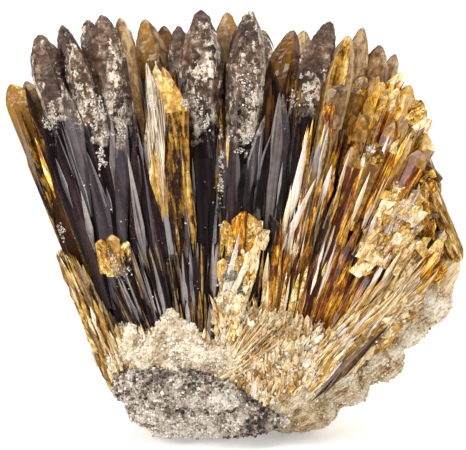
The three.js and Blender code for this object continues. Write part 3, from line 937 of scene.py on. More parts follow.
def dark_skins(x, chance):
    """Finishes of a dark crystal's sides; amber ones gather in two bands and at the left edge."""
    # Glow sides have a painted glow towards the tip; grey and light sides are painted reflections.
    if x < -40:
        return (PAINTED_GLOW, 0.35), (AMBERY, 0.6), (DARK, 0.2)
    amber = -18 < x < -9 or 14 < x
    if chance.random() < (0.65 if amber else 0.2):
        return (AMBERY, 0.7), (DARK, 0.15)
    return (GREY_PAINTED_REFLECTION, 0.2), (LIGHT_PAINTED_REFLECTION, 0.015), (DARK, 0.6)


# Depth and height of the tips, left end, right end and count of each row behind the front.
DARK_ROWS = (
    (4, 91, -42, 32, 10), (9, 90, -41, 31, 10), (14, 88, -38, 29, 9), (19, 84, -36, 28, 9),
    (24, 79, -34, 26, 8), (28.5, 70, -31, 24, 7), (31, 58, -26, 20, 6),
)
DARK_TOP_Z = 90  # where the narrow crystals, if they were long enough, would be spread evenly


def dark_front(made, chance):
    for tip, width, point, turn, lean, kind in DARK_FRONT:
        glass, skins, cap = DARK_KINDS[kind]
        made.add(fan_crystal(
            DARK_HEART, DARK_ROOT_Z, tip, width, point, turn=turn, skew=(lean, 0),
            end=ROUNDED_POINT, tint=chance.random(), skins=skins, cap=cap, chance=chance,
            glass=glass, flat=0.95, threefold=0.2, rough=0.35 if cap == DUST else 0.15,
        ))


def dark_narrow(made, chance, count):
    """Narrower crystals in front of the broad ones and between them."""
    for _ in range(count):
        x, z = chance.uniform(-44, 17), chance.uniform(34, 78)
        edge = abs(x + 5) / 42
        tip = (x * (z - DARK_HEART.z) / (DARK_TOP_Z - DARK_HEART.z),
               chance.uniform(-18.4, -14.5) + 5 * edge ** 3, z)
        heart = DARK_HEART + Vector((chance.uniform(-3, 3), chance.uniform(-1, 2), 0))
        made.add(fan_crystal(
            heart, DARK_ROOT_Z, tip, chance.uniform(2.6, 5.6),
            chance.uniform(0.15, 0.55) * (z - DARK_ROOT_Z), turn=chance.uniform(0, 60),
            tint=chance.random(), skins=dark_skins(tip[0], chance), chance=chance,
            glass=AMBER if chance.random() < 0.15 + 0.5 * (x < -38) else SMOKY,
            **natural(chance, 0.5),
        ))


def dark_rows(made, chance):
    for deep, height, left, right, count in DARK_ROWS:
        step = (right - left) / (count - 1)
        for i in range(count):
            x = left + step * i + chance.uniform(-1.5, 1.5)
            out = abs(x - (left + right) / 2) / ((right - left) / 2)
            tip = (x, deep + chance.uniform(-2, 2) - 3 * out ** 2,
                   height - 12 * out ** 3 + chance.uniform(-2, 2))
            made.add(fan_crystal(
                DARK_HEART, DARK_ROOT_Z, tip, step * chance.uniform(1.0, 1.3),
                chance.uniform(8, 12), turn=chance.uniform(0, 60),
                skew=(chance.uniform(-0.3, 0.3), 0), end=ROUNDED_POINT, flat=1,
                tint=chance.random(), glass=AMBER, skins=chance.choice((
                    ((DARK, 0.25), (AMBERY, 0.3)), ((BROWN, 0.6), (AMBERY, 0.2)),
                    ((PAINTED_GLOW, 0.6), (AMBERY, 0.2)),
                )), chance=chance,
            ))


def dark_fan():
    chance = random.Random(5)
    made = Growth()
    dark_front(made, chance)
    dark_narrow(made, chance, count=105)
    dark_rows(made, chance)
    made.piece("dark_crystals", "dark_crystal_fan", *FINISHES)


def dark_inner(count=70):
    """Cloudy crystals that stand close behind the clear ones of the front."""
    chance = random.Random(6)
    made = Growth()
    for i in range(count):
        x = -43 + 75 * i / (count - 1)
        edge = abs(x + 5) / 40
        made.add(fan_crystal(
            DARK_HEART, DARK_ROOT_Z, (x, -11.5 + 4 * edge ** 3 + chance.uniform(-1, 1),
                                      84 - 8 * edge ** 3 + chance.uniform(-4, 1)),
            chance.uniform(3, 5), 12, turn=chance.uniform(0, 60), flat=1.4,
        ))
    made.piece("dark_inner_crystals", "dark_crystal_fan", dark_inside)


# ---------------------------------------------------------------- the golden fan

# The golden fan's right edge as x and z, from its top down.
GOLD_EDGE = ((33, 83), (38, 75), (42, 62), (45.5, 50), (48.5, 40))
GOLD_FRONT_Y = -17.5
GOLD_FRONT_WIDTH, GOLD_FRONT_DROP = 26, 16  # how far the tips lie inward of the edge at most
GOLD_ROW_DEPTHS = (-8, -2, 4, 10, 16, 20)
GOLD_SKINS = ((STRAW, 0.05), (GOLD, 0.65))


def edge_point(share):
    """The point at that share of the way down the golden fan's right edge."""
    at = share * (len(GOLD_EDGE) - 1)
    low = min(int(at), len(GOLD_EDGE) - 2)
    a, b = GOLD_EDGE[low], GOLD_EDGE[low + 1]
    return [a[i] + (b[i] - a[i]) * (at - low) for i in (0, 1)]


def gold_tip(chance, inward):
    """A place for a tip on the golden fan's front, inward from its right edge."""
    x, z = edge_point(chance.random())
    x -= GOLD_FRONT_WIDTH * inward * (0.4 + 0.6 * (z - 30) / 55)
    z -= GOLD_FRONT_DROP * inward
    return x, GOLD_FRONT_Y + 9 * max(0, (x - 30) / 20) ** 2, max(z, 1.15 * x - 13)


def gold_narrow(made, chance, count):
    for _ in range(count):
        x, y, z = gold_tip(chance, chance.random() ** 0.8)
        made.add(fan_crystal(
            GOLD_HEART, GOLD_ROOT_Z, (x, y + chance.uniform(0, 3), z), chance.uniform(1.8, 4.8),
            chance.uniform(0.3, 0.8) * (z - 8), root_width=chance.uniform(1.5, 3),
            glass=chance.choice((GOLDEN, GOLDEN, GOLDEN, AMBER)), turn=chance.uniform(0, 60),
            tint=chance.random(), skins=GOLD_SKINS, chance=chance, **natural(chance, 0.55),
        ))


def gold_rows(made, chance, count):
    """Rows behind the front, of count crystals each, spread along the right edge."""
    for deep in GOLD_ROW_DEPTHS:
        inward = max(0, deep - 4) * 0.35
        for i in range(count):
            x, z = edge_point((i + chance.random()) / count)
            made.add(fan_crystal(
                GOLD_HEART, GOLD_ROOT_Z,
                (x - inward, deep + chance.uniform(-2, 2), z - inward * 0.6),
                chance.uniform(4, 8), chance.uniform(6, 9), root_width=3, glass=GOLDEN,
                turn=chance.uniform(0, 60), tint=chance.random(), skins=GOLD_SKINS,
                chance=chance,
            ))


def gold_fan():
    chance = random.Random(9)
    made = Growth()
    gold_narrow(made, chance, count=170)
    gold_rows(made, chance, count=9)
    made.piece("golden_crystals", "golden_crystal_fan", *FINISHES)


def gold_inner(count=70):
    """Cloudy crystals close behind the golden fan's front."""
    chance = random.Random(10)
    made = Growth()
    for i in range(count):
        x, y, z = gold_tip(chance, (i + 0.5) / count)
        made.add(fan_crystal(
            GOLD_HEART, GOLD_ROOT_Z, (x - 1, y + 5.5, z - 3), chance.uniform(4, 6), 8,
            root_width=3, turn=chance.uniform(0, 60), flat=1.4,
        ))
    made.piece("golden_inner_crystals", "golden_crystal_fan", golden_inside)


# ---------------------------------------------------------------- single crystals of the fronts

# The grey and light crystals here are painted reflections on broad faces, and the glow one has a
# painted glow towards its tip.
# Each line: foot and tip as x and z, width, y of the tip, finish and tint.
DARK_SINGLES = (
    ((-31.2, 50), (-34.8, 79.6), 4, -18.4, GREY_PAINTED_REFLECTION, 0.8),
    ((-30.5, 40), (-41.1, 72.4), 4.4, -17, DARK, 0.5),
    ((-38, 56), (-43.4, 78), 3.4, -15, AMBERY, 0.1),
    ((-27, 30), (-38, 70), 4, -17.8, DARK, 0.7),
    ((-23.8, 42), (-23.5, 74), 3.4, -18.6, GREY_PAINTED_REFLECTION, 0.2),
    ((-25, 55), (-26, 71.5), 1.8, -18.8, LIGHT_PAINTED_REFLECTION, 0.5),
    ((-18.3, 37), (-22.2, 63.6), 2, -19, LIGHT_PAINTED_REFLECTION, 0.9),
    ((-29.5, 42), (-32.3, 55.7), 1.5, -18.8, LIGHT_PAINTED_REFLECTION, 0.7),
    ((-24.9, 30), (-29.7, 64.2), 3.4, -18.4, GREY_PAINTED_REFLECTION, 0.4),
    ((-26.2, 42), (-28, 76), 4, -17.6, DARK, 0.3),
    ((-21.3, 33), (-20.5, 69.7), 2.6, -18.4, DARK, 0.8),
    ((-17.4, 33), (-17.6, 80), 3.4, -18, STRIPED, 0.5),
    ((-15, 36), (-15.6, 70), 2.2, -18.4, STRAW, 0.2),
    ((-12.1, 34), (-12.5, 76), 5.8, -17.6, AMBERY, 0.45),
    ((-6.4, 40), (-6.6, 75), 6, -17.8, DARK, 0.2),
    ((-8.1, 40), (-9.5, 64), 1.8, -19, AMBERY, 1.0),
    ((-1.5, 45), (0.4, 73), 5.2, -17.8, GREY_PAINTED_REFLECTION, 0.3),
    ((1.1, 44), (6, 72), 3.2, -18.2, GREY_PAINTED_REFLECTION, 0.5),
    ((7.3, 46), (10.1, 76.6), 2.8, -19, LIGHT_PAINTED_REFLECTION, 0.2),
    ((9.5, 48), (11.6, 76), 3.4, -18.2, GREY_PAINTED_REFLECTION, 0.0),
    ((4, 46), (8.2, 68), 3, -18.6, DARK, 0.4),
    ((12, 46), (13.6, 70.5), 3.2, -18.2, DARK, 0.6),
    ((-32, 32), (-47.8, 77.5), 4.6, -13, PAINTED_GLOW, 0.9),
    ((-37.6, 44), (-45.8, 74), 2.4, -15, AMBERY, 0.35),
    ((-38, 54), (-42, 67), 1.2, -18, GOLD, 0.6),
    ((-41, 55), (-46.4, 72), 0.8, -16.5, LIGHT_PAINTED_REFLECTION, 0.7),
    ((-0.7, 22), (6.6, 49.5), 2.8, -20.6, FROST, 0.6),
    ((9.4, 43), (8.8, 51), 3, -19.6, DARK, 0.5),
    ((-16.6, 66), (-17.2, 82.8), 2.6, -20, STRIPED, 0.5),
)
# Stout crystals with blunt ends, side by side: a brown group and two honey bundles.
DARK_BUNDLES = (
    ((21.2, 69), (22.2, 78.4), 4.2, -18.9, BROWN, 0.5),
    ((20.6, 74.4), (21, 77.4), 1.6, -19.8, PALE, -0.2),
    ((19.6, 66), (20.4, 74.6), 2.4, -19.4, GOLD, 0.2),
    ((-27.4, 38), (-28.2, 45.5), 2.6, -19.4, HONEY, 0.3),
    ((-25, 37.5), (-25.6, 46.6), 3, -19.8, CLOUDY, 0.3),
    ((-22.8, 38), (-23.2, 45), 2.6, -19.4, HONEY, 0.6),
    ((-26, 37.5), (-26.4, 42), 2.2, -20.2, HONEY, 0.8),
    ((-1.8, 34), (-1, 49.5), 3.4, -19.4, HONEY, 0.4),
    ((0.6, 33), (1.6, 51.8), 3.6, -19.8, GOLD, 0.4),
    ((3, 35), (4.4, 51), 3.4, -19.6, HONEY, 0.6),
    ((-2.2, 33.5), (-2, 41.5), 2.8, -20.2, CLOUDY, 0.6),
    ((0.6, 32.5), (1, 42), 3.2, -20.5, CLOUDY, 0.8),
    ((3, 37), (4.6, 45.5), 2.4, -20.3, GOLD, 0.7),
    ((-0.8, 41), (0, 46), 1.8, -20.6, HONEY, 0.9),
)
# Among the golden fan's singles, the light crystal is a painted reflection.
GOLD_SINGLES = (
    ((11, 46), (16.5, 68.6), 2, -20.2, PALE, 0.7),
    ((17, 57), (19.8, 70.8), 2.2, -19.4, LIGHT_PAINTED_REFLECTION, 0.9),
    ((18.3, 52.5), (21.3, 61.4), 1.5, -20.2, PALE, 0.8),
    ((9.9, 42), (17.6, 58.7), 1.6, -20.6, PALE, 0.5),
    ((26.8, 53.5), (31.5, 64.5), 1.8, -19.4, PALE, 0.7),
    ((31.5, 60), (37.4, 72.6), 3, -16.5, STRAW, 1.0),
    ((34.5, 55), (40.6, 72), 4.6, -15.5, STRIPED, 0.5),
    ((26.5, 39), (30.8, 52), 2, -20, PALE, 0.6),
    ((-3.3, 27), (2.2, 47), 2.2, -21, PALE, 0.6),
    ((-2, 29), (4.2, 44), 1.5, -21.4, STRAW, 0.9),
    ((17, 10.6), (33.4, 27.4), 2.4, -21.6, BROWN, -0.3),
    ((19.5, 12.2), (29.5, 24.6), 1.5, -22, BROWN, 0),
)
# The broken crystal's parts: root, tip, width, length of the point, lean of the tip, finish of
# the sides and of the end, and tint.
BROKEN_PARTS = (
    ((-15.6, -17, 50), (-15.4, -18.6, 83), 3.6, 8, (-0.5, 0), STRIPED, FROST, 0.6),
    ((-10.4, -17, 50), (-12.4, -18.9, 82), 6.6, 9.5, (-0.75, 0.2), PAINTED_GLOW, CLOUDY, 0.45),
    ((-10, -17.5, 50), (-10.6, -19.2, 75), 3.2, 3, (0.4, 0), AMBERY, BROWN, 0.6),
)
# Slabs that close the right edge: upper and lower end, width and tint.
EDGE_SLABS = (
    ((37.6, -6.4, 71.5), (44.6, -6, 52.5), 6, 0.7),
    ((36.6, -1, 73), (44.2, 0, 53), 6, 0.4),
    ((42.3, -8, 57), (49.8, -6, 38), 6, 0.9),
    ((41.6, -1, 57), (49.4, 0, 37), 7, 0.5),
)
# Short crystals that rise from the rind over the slabs' lower ends: root, tip, width, finish.
EDGE_BLADES = (
    ((45, -5.5, 28), (50, -6.6, 43), 5.5, STRAW),
    ((45, -2, 28), (50, -2.4, 41), 5.5, GOLD),
    ((44.5, 2, 28), (49.8, 1.6, 44.5), 6.5, CLOUDY),
    ((43, 6, 29), (48.4, 6.6, 41), 6, GOLD),
)


def singles(name, node_name, lines, blunt=False):
    """Crystals that each show one broad clean side to the front."""
    chance = random.Random(43)
    made = Growth()
    for foot, tip, width, y, glass, tint in lines:
        root = Vector((foot[0], y + 1.5, foot[1]))
        tip = Vector((tip[0], y, tip[1]))
        thick = width > 2.5 or blunt
        point_share = 0.12 if blunt else 0.35 if thick else 0.6
        made.add(crystal(
            root, tip, width, (tip - root).length * point_share,
            root_width=width * (0.9 if blunt else 0.6) if thick else 0.15,
            turn=30 + (chance.uniform(-15, 15) if blunt else 0), flat=0.5, tint=tint,
            glass=glass, skew=(chance.uniform(-0.8, 0.8), 0),
        ))
    made.piece(name, node_name, *FINISHES)


def broken_crystals():
    """The broad broken crystal among the tips: straw at its left, amber in front, with a
    slanting golden top."""
    chance = random.Random(49)
    made = Growth()
    for root, tip, width, point, skew, glass, cap, tint in BROKEN_PARTS:
        made.add(crystal(
            root, tip, width, point, turn=45, sides=4, threefold=0, flat=0.7, skew=skew,
            end=((0.3, 0.9), (0.65, 0.62)), glass=glass, cap=cap, tint=tint, rough=0.5,
            chance=chance, skins=((AMBERY, 0.3),) if glass == PAINTED_GLOW else (),
        ))
    made.piece("broken_crystals", "dark_crystal_fan", *FINISHES)


def edge_slabs():
    """Long slabs down the right edge, and the short crystals over their lower ends."""
    made = Growth()
    for upper, lower, width, tint in EDGE_SLABS:
        length = (Vector(lower) - Vector(upper)).length
        made.add(crystal(upper, lower, width, length * 0.14, root_width=width * 0.8, turn=15,
                         flat=0.8, tint=tint, glass=SLAB, end=((0.6, 0.8),)))
    for root, tip, width, glass in EDGE_BLADES:
        made.add(crystal(root, tip, width, width * 1.1, turn=20, tint=0.4, glass=glass))
    made.piece("edge_slabs", "golden_crystal_fan", *FINISHES)


dark_fan()
dark_inner()
gold_fan()
gold_inner()
singles("dark_fan_singles", "dark_crystal_fan", DARK_SINGLES)
singles("golden_fan_singles", "golden_crystal_fan", GOLD_SINGLES)
singles("dark_fan_bundles", "dark_crystal_fan", DARK_BUNDLES, blunt=True)
broken_crystals()

# ---------------------------------------------------------------- rock, crust and rind

# Middle and half size of the lumps added to each surface.
ROCK_LUMPS = (
    ((-19.6, -16, 13.4), (7.4, 7, 4.8)), ((-13, -17.5, 14), (7.4, 6.4, 5.8)),
    ((-5, -17.5, 12), (7, 6, 5.2)), ((3, -15, 6.5), (7, 6.6, 4.6)),
    ((-15.4, -14, 8.4), (8.2, 7, 5.4)), ((-12.6, -12, 3.4), (5.8, 6, 3.4)),
    ((6.4, -15, 5.2), (6.6, 6, 4.4)),
)
CRUST_MOUNDS = (
    ((-25.2, -15, 19.5), (3.2, 5, 4.6)), ((-22.4, -16, 22.6), (3, 5, 5.4)),
    ((-19, -17, 21), (3, 4.5, 5)), ((-16.2, -17.4, 22.5), (2.6, 4.5, 5)),
    ((-13, -17.4, 25), (3, 4.5, 6)), ((-10, -17.8, 22.5), (2.8, 4, 6)),
    ((-7, -18, 20.5), (3, 4, 4.6)), ((-3.6, -18.4, 19.5), (3, 4, 4.6)),
    ((-0.6, -18, 20), (2.2, 4, 5)),
)
RIND_LOBES = (
    ((17, -12.5, 7), (6.5, 6, 5)), ((23, -11, 11), (5, 5, 4)), ((18, -7, 7.5), (7, 7, 6)),
    ((24.5, -8, 12), (6, 7, 5.5)), ((31.5, -7, 17.5), (7, 7, 6)), ((38, -4, 24.5), (6, 8, 5)),
    ((43.5, -2, 30), (6.2, 8, 6.5)),
)


def under_rock(co):
    """How low the rock reaches: from its foot it slopes up to the left, right and front."""
    uneven = 0.8 * noise.noise(co * 0.5)
    slopes = (-1.35 * (co.x + 19.5), 0.3 * (co.x + 2), 0.12 * (-8 - co.y))
    return max(0, max(slopes) + max(0, 0.1 * (-8 - co.y)) + uneven)


def rock_tone(co):
    """The rock is a little darker along its top, darkest at its lower right, and mottled."""
    near = max(0, 1 - (co - Vector((5, -18.5, 5))).length / 6)
    mottled = 0.45 * noise.noise(co * 0.3) + 0.35 * noise.noise(co * 0.8)
    return 0.14 - 0.035 * (co.z - 8) - 1.4 * near + mottled


def crust_tone(co):
    return 0.3 * noise.noise(co * 0.4)


def rind_tone(co):
    """The rind is pale and mottled, and greyer where it meets the rock."""
    near = max(0, 1 - (co - Vector((14, -17, 4))).length / 9)
    return 0.14 - 0.6 * near + 0.4 * noise.noise(co * 0.3) + 0.3 * noise.noise(co * 0.8)


def ribbed(size, height, fine_height, seed):
    """Relief of broad lumps with ribs that run out from the foot of the fan."""
    lumps = rough_lumps(size, height, fine_height, seed)

    def relief(co):
        out = co - FOOT_HEART
        rib = noise.noise(Vector((math.atan2(out.z, out.x) * 22, co.y * 0.3, out.length * 0.16)))
        return lumps(co) + rib * 0.8

    return relief


def rough_lumps(size, height, fine_height, seed):
    """Relief of broad lumps with small crumbs on them."""
    offset = Vector((seed * 17.3, seed * 5.1, seed * 9.7))

    def relief(co):
        broad = noise.noise(co / size + offset)
        small = noise.noise(co / (size * 0.3) + offset)
        crumb = noise.noise(co / (size * 0.11) + offset)
        return broad * height + small * height * 0.4 + crumb * fine_height

    return relief


def dress(name, relief, stone, grain_name, grain_finish, share, sizes, seed, tone, **more):
    """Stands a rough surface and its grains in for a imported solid, both as light as tone says."""
    chance = random.Random(seed)
    bm = surface_of(name, relief, **more)
    layer = bm.verts.layers.float.new("tone")
    for vert in bm.verts:
        vert[layer] = tone(vert.co)
    spots = grains_over(bm, chance, share, sizes, tone)
    strew(grain_name, name, spots, grain_finish)
    finished(bm, name + "_surface", name, stone)


dress("matrix_rock", rough_lumps(size=6, height=0.8, fine_height=0.5, seed=1), sugary_rock,
      "rock_grains", rock_grains, share=0.85, sizes=(0.25, 0.75), seed=21, tone=rock_tone,
      lowest=under_rock, lobes=ROCK_LUMPS)
dress("cream_crust", rough_lumps(size=3.5, height=0.9, fine_height=0.5, seed=2), cream_stone,
      "crust_grains", cream_grains, share=0.75, sizes=(0.2, 0.8), seed=22, tone=crust_tone,
      lobes=CRUST_MOUNDS)
dress("calcite_rind", ribbed(size=7, height=1.0, fine_height=0.3, seed=3), rind_stone,
      "rind_grains", rind_grains, share=0.3, sizes=(0.2, 0.7), seed=23, tone=rind_tone,
      lowest=lambda co: 0, lobes=RIND_LOBES)

# ---------------------------------------------------------------- needles


def spray(name, node_name, place_line, count, seed, widths, glasses, patch=5):
    """Fine needles along the lines from root to tip that place_line gives. Their glasses, from
    the first to the last as their tone grows lighter, come in patches of about that size."""
    chance = random.Random(seed)
    made = Growth()
    for _ in range(count):
        root, tip = place_line(chance)
        length = (tip - root).length
        tone = 0.5 + noise.noise(tip / patch) + chance.uniform(-0.35, 0.35)
        tone = min(0.99, max(0, tone))
        made.add(crystal(
            root, tip, chance.uniform(*widths), length * chance.uniform(0.3, 0.8),
            root_width=chance.uniform(0.3, 0.7), sides=chance.choice((3, 4, 6)),
            turn=chance.uniform(0, 90), tint=0.3 * chance.random() + 0.7 * tone,
            glass=glasses[int(tone * len(glasses))],
            skew=(chance.uniform(-0.5, 0.5), 0),
        ))
    made.piece(name, node_name, *FINISHES)


# The points that the needles of each kind spread from.
RAY_HEART = Vector((-5, -20, 13))
EDGE_HEART = Vector((-17, -12, -8))
FRINGE_HEART = Vector((-6, -17, -8))


def slanting(angle, far, y):
    """A line that long over the front, at an angle to the floor, that goes y deep."""
    return Vector((far * math.cos(angle), y, far * math.sin(angle)))


def long_rays(chance):
    """Long pale needles that leave one point at the rock's edge."""
    angle = math.radians(chance.triangular(28, 72, 52))
    tip = RAY_HEART + slanting(angle, chance.uniform(8, 24), chance.uniform(-2, 0.5))
    return RAY_HEART.lerp(tip, chance.uniform(0.1, 0.6)) + jitter(chance, 0.7), tip


def on_the_foot(x, z):
    """Whether a place of the front lies among the fibres: above the rock and the rind's lip,
    under the golden fan, and along the lip as far as the right edge."""
    lowest = max(0.4 * x + 6.4, 14 - 0.7 * x, 0.95 * x - 8)
    return lowest < z < max(31 - 0.35 * x, 0.95 * x - 2)


def short_fibres(chance):
    """Short fibres that stand side by side over the foot and lean over towards the right."""
    x, z = chance.uniform(-4, 38), chance.uniform(7, 34)
    while not on_the_foot(x, z):
        x, z = chance.uniform(-4, 38), chance.uniform(7, 34)
    angle = math.radians(90 - 1.4 * x + chance.uniform(-24, 24))
    root = Vector((x, -19.5 + 0.12 * max(0, x - 12) + chance.uniform(-1, 1), z))
    return root, root + slanting(angle, chance.uniform(1.5, 4.5), chance.uniform(-1.2, 0))


def right_rays(chance):
    """Needles that run up to the right, above the rind's lip."""
    x = chance.uniform(16, 36)
    z = 0.95 * x - 6 + chance.triangular(0, 12, 5)
    angle = math.radians(chance.uniform(42, 60))
    root = Vector((x, -19.6 + 0.1 * (x - 14) + chance.uniform(-1, 1), z))
    return root, root + slanting(angle, chance.uniform(3, 10), chance.uniform(-1, 1))


def edge_needles(chance):
    """Golden-brown needles of the lower left edge; one in three stands further back."""
    z = chance.uniform(17, 43)
    edge = -30 - 8.8 * min(1, max(0, (z - 21) / 24)) + 0.5 * max(0, 21 - z)
    inward = (15 - 0.25 * z) * chance.random() ** 1.6
    y = chance.uniform(-19.6, -13) + chance.choice((0, 0, 12))
    tip = Vector((edge + inward, y, z - 0.3 * inward))
    return EDGE_HEART.lerp(tip, chance.uniform(0.72, 0.88)), tip


def crust_fibres(chance):
    """Short pale fibres that stand on the crust."""
    x = chance.uniform(-27, 2)
    tip = Vector((x, chance.uniform(-20.5, -16.5), 29 - 0.16 * abs(x + 14) - 7 * chance.random()))
    return DARK_HEART.lerp(tip, 1 - chance.uniform(2, 7) / (tip - DARK_HEART).length), tip


def seam_crystals(chance):
    """Narrow amber crystals where the golden fan laps over the dark one."""
    tip = Vector((chance.uniform(6.5, 17), chance.uniform(-20.4, -19), chance.uniform(36, 58)))
    tip.x += 0.22 * (tip.z - 40)
    return GOLD_HEART.lerp(tip, chance.uniform(0.4, 0.75)), tip


def dark_fringe(chance):
    """Thin dark needles between the crystals above the crust."""
    tip = Vector((chance.uniform(-26, 4), chance.uniform(-19.8, -17.8), chance.uniform(27, 46)))
    return FRINGE_HEART.lerp(tip, chance.uniform(0.62, 0.8)), tip


spray("long_rays", "calcite_rind", long_rays, count=200, seed=31, widths=(0.3, 0.7),
      glasses=(CLOUDY, STRAW, STRAW, FROST))
spray("short_fibres", "calcite_rind", short_fibres, count=1750, seed=34, widths=(0.4, 1.8),
      glasses=(CLOUDY, STRAW, STRAW, FROST, STRAW, FROST, FROST, PALE))
spray("right_rays", "calcite_rind", right_rays, count=420, seed=35, widths=(0.3, 1.1),
      glasses=(CLOUDY, STRAW, FROST, STRAW, FROST, CLOUDY, FROST, PALE), patch=3)
spray("seam_crystals", "golden_crystal_fan", seam_crystals, count=130, seed=38,
      widths=(0.7, 2.2), glasses=(AMBERY, GOLD, GOLD, BROWN, GOLD, HONEY, STRAW), patch=2)
spray("edge_needles", "dark_crystal_fan", edge_needles, count=1300, seed=32,
      widths=(0.6, 1.9), patch=3,
      glasses=(STRAW, AMBERY, AMBERY, BROWN, CLOUDY, BROWN, HONEY, CLOUDY, FROST))
# Grey and light needles among these are painted reflections.
spray("fringe_needles", "dark_crystal_fan", dark_fringe, count=460, seed=33,
      widths=(0.4, 1.5), glasses=(DARK, DARK, DARK, AMBERY, DARK, BROWN, GREY_PAINTED_REFLECTION, LIGHT_PAINTED_REFLECTION), patch=2)
spray("crust_fibres", "cream_crust", crust_fibres, count=380, seed=36, widths=(0.3, 1.1),
      glasses=(CLOUDY, STRAW, FROST, FROST, PALE), patch=3)


def glints(name, node_name, count, seed, middle, half, lengths, heart, glasses):
    """Thin bright slivers scattered over a front, each along the crystals around it."""
    chance = random.Random(seed)
    made = Growth()
    for _ in range(count):
        at = Vector([m + h * chance.uniform(-1, 1) for m, h in zip(middle, half)])
        axis = (at - heart).normalized()
        length = chance.uniform(*lengths)
        made.add(crystal(
            at - axis * length / 2, at + axis * length / 2, chance.uniform(0.5, 1.3),
            length * 0.55, root_width=0.1, turn=30, flat=0.4, tint=chance.random(),
            glass=chance.choice(glasses),
        ))
    made.piece(name, node_name, *FINISHES)


# The grey and light glints of the dark fan are painted reflections.
glints("dark_fan_glints", "dark_crystal_fan", count=26, seed=44, middle=(-14, -18.6, 52),
       half=(24, 0.5, 15), lengths=(5, 14), heart=DARK_HEART, glasses=(LIGHT_PAINTED_REFLECTION, GREY_PAINTED_REFLECTION, GREY_PAINTED_REFLECTION, AMBERY))
glints("golden_fan_glints", "golden_crystal_fan", count=60, seed=45, middle=(26, -19.5, 51),
       half=(12, 0.7, 15), lengths=(4, 14), heart=GOLD_HEART,
       glasses=(PALE, PALE, STRAW, GOLD, AMBERY))

# ---------------------------------------------------------------- blocks


def foot_chips(count):
    """Small chips among the fibres of the foot."""
    chance = random.Random(37)
    spots = []
    for _ in range(count):
        root, tip = short_fibres(chance)
        size = chance.uniform(0.2, 0.75)
        at = root.lerp(tip, 0.5) + Vector((0, chance.uniform(-0.8, 0.6), 0))
        spots.append((at, loose_turn(chance), size, chance.random()))
    strew("foot_chips", "calcite_rind", spots, rind_grains)


foot_chips(count=2600)


def blocks(name, node_name, groups, seed):
    """Groups of leaning blocks grown in step: middle, half sizes, count, block size, heading
    and glasses."""
    chance = random.Random(seed)
    made = Growth()
    for middle, half, count, size, heading, glasses in groups:
        turn = chance.uniform(0, 90)
        for _ in range(count):
            at = Vector([m + h * chance.uniform(-1, 1) for m, h in zip(middle, half)])
            big = size * chance.uniform(0.4, 1.2)
            axis = Vector(heading) + jitter(chance, 0.45)
            glass, tint = chance.choice(glasses), chance.random()
            if chance.random() < 0.5:
                sides = [big * chance.uniform(*share) for share in ((0.6, 1), (0.6, 1), (1, 1.8))]
                made.add(rhomb(
                    at, sides, axis, chance, turn + chance.uniform(-25, 25),
                    lean=chance.uniform(0.1, 0.35), tint=tint, glass=glass,
                ))
            else:
                axis = axis.normalized() * big
                made.add(crystal(
                    at - axis, at + axis, big, big * chance.uniform(0.4, 0.8), tint=tint,
                    turn=chance.uniform(0, 60), end=BLUNT_POINT, glass=glass,
                ))
    made.piece(name, node_name, *FINISHES)


HONEY_LUMP = (HONEY, CLOUDY, HONEY, GOLDEN, GOLDEN)
CREAM_LUMP = (FROST, FROST, FROST, STRAW, GOLD)
blocks("dark_fan_blocks", "dark_crystal_fan", (
    ((-25, -19.6, 41), (2, 0.5, 2.4), 8, 1.3, (-0.2, 0, 1), HONEY_LUMP),
    ((1.2, -20.4, 40), (2.8, 0.5, 6), 22, 1.3, (0.1, 0, 1), HONEY_LUMP),
    ((6, -20.5, 47), (1, 0.4, 2), 8, 1.6, (0.3, 0, 1), CREAM_LUMP),
    ((3.4, -20.8, 38), (1, 0.4, 4), 16, 1.5, (0.3, 0, 1), CREAM_LUMP),
    ((0.8, -20.8, 29), (1, 0.4, 4), 16, 1.5, (0.3, 0, 1), CREAM_LUMP),
), seed=41)
blocks("golden_fan_blocks", "golden_crystal_fan", (
    ((35, -18.5, 47.5), (4, 0.6, 6), 26, 1.5, (0.5, 0, 1), CREAM_LUMP),
    ((42, -9, 40), (4, 3, 5), 50, 2.4, (0.6, 0, 0.8), (GOLD, GOLD, BROWN, HONEY, STRAW)),
    ((41, -11, 53), (3, 2, 7), 40, 2.4, (-0.3, 0, 1), (GOLD, GOLD, BROWN, HONEY)),
), seed=42)


# The large cream blocks on the golden fan: middle as x and z, size, and tint.
CREAM_BLOCKS = (
    ((36.8, 53.4), (5, 3, 5.6), 0.5), ((34, 49.4), (6, 3, 4.6), 1.0),
    ((37.6, 47.4), (4, 3, 6), -0.1), ((31.6, 44.6), (4.6, 3, 5.6), 0.8),
    ((35.2, 43.4), (4.6, 3, 5), 0.0), ((30.4, 47.6), (2.4, 3, 6.6), 1.1),
    ((33.4, 54), (2.6, 3, 4), 0.8), ((38.4, 41.6), (3.4, 3, 5), -0.4),
    ((28.6, 41.4), (2.2, 2.4, 4.6), 0.8),
)


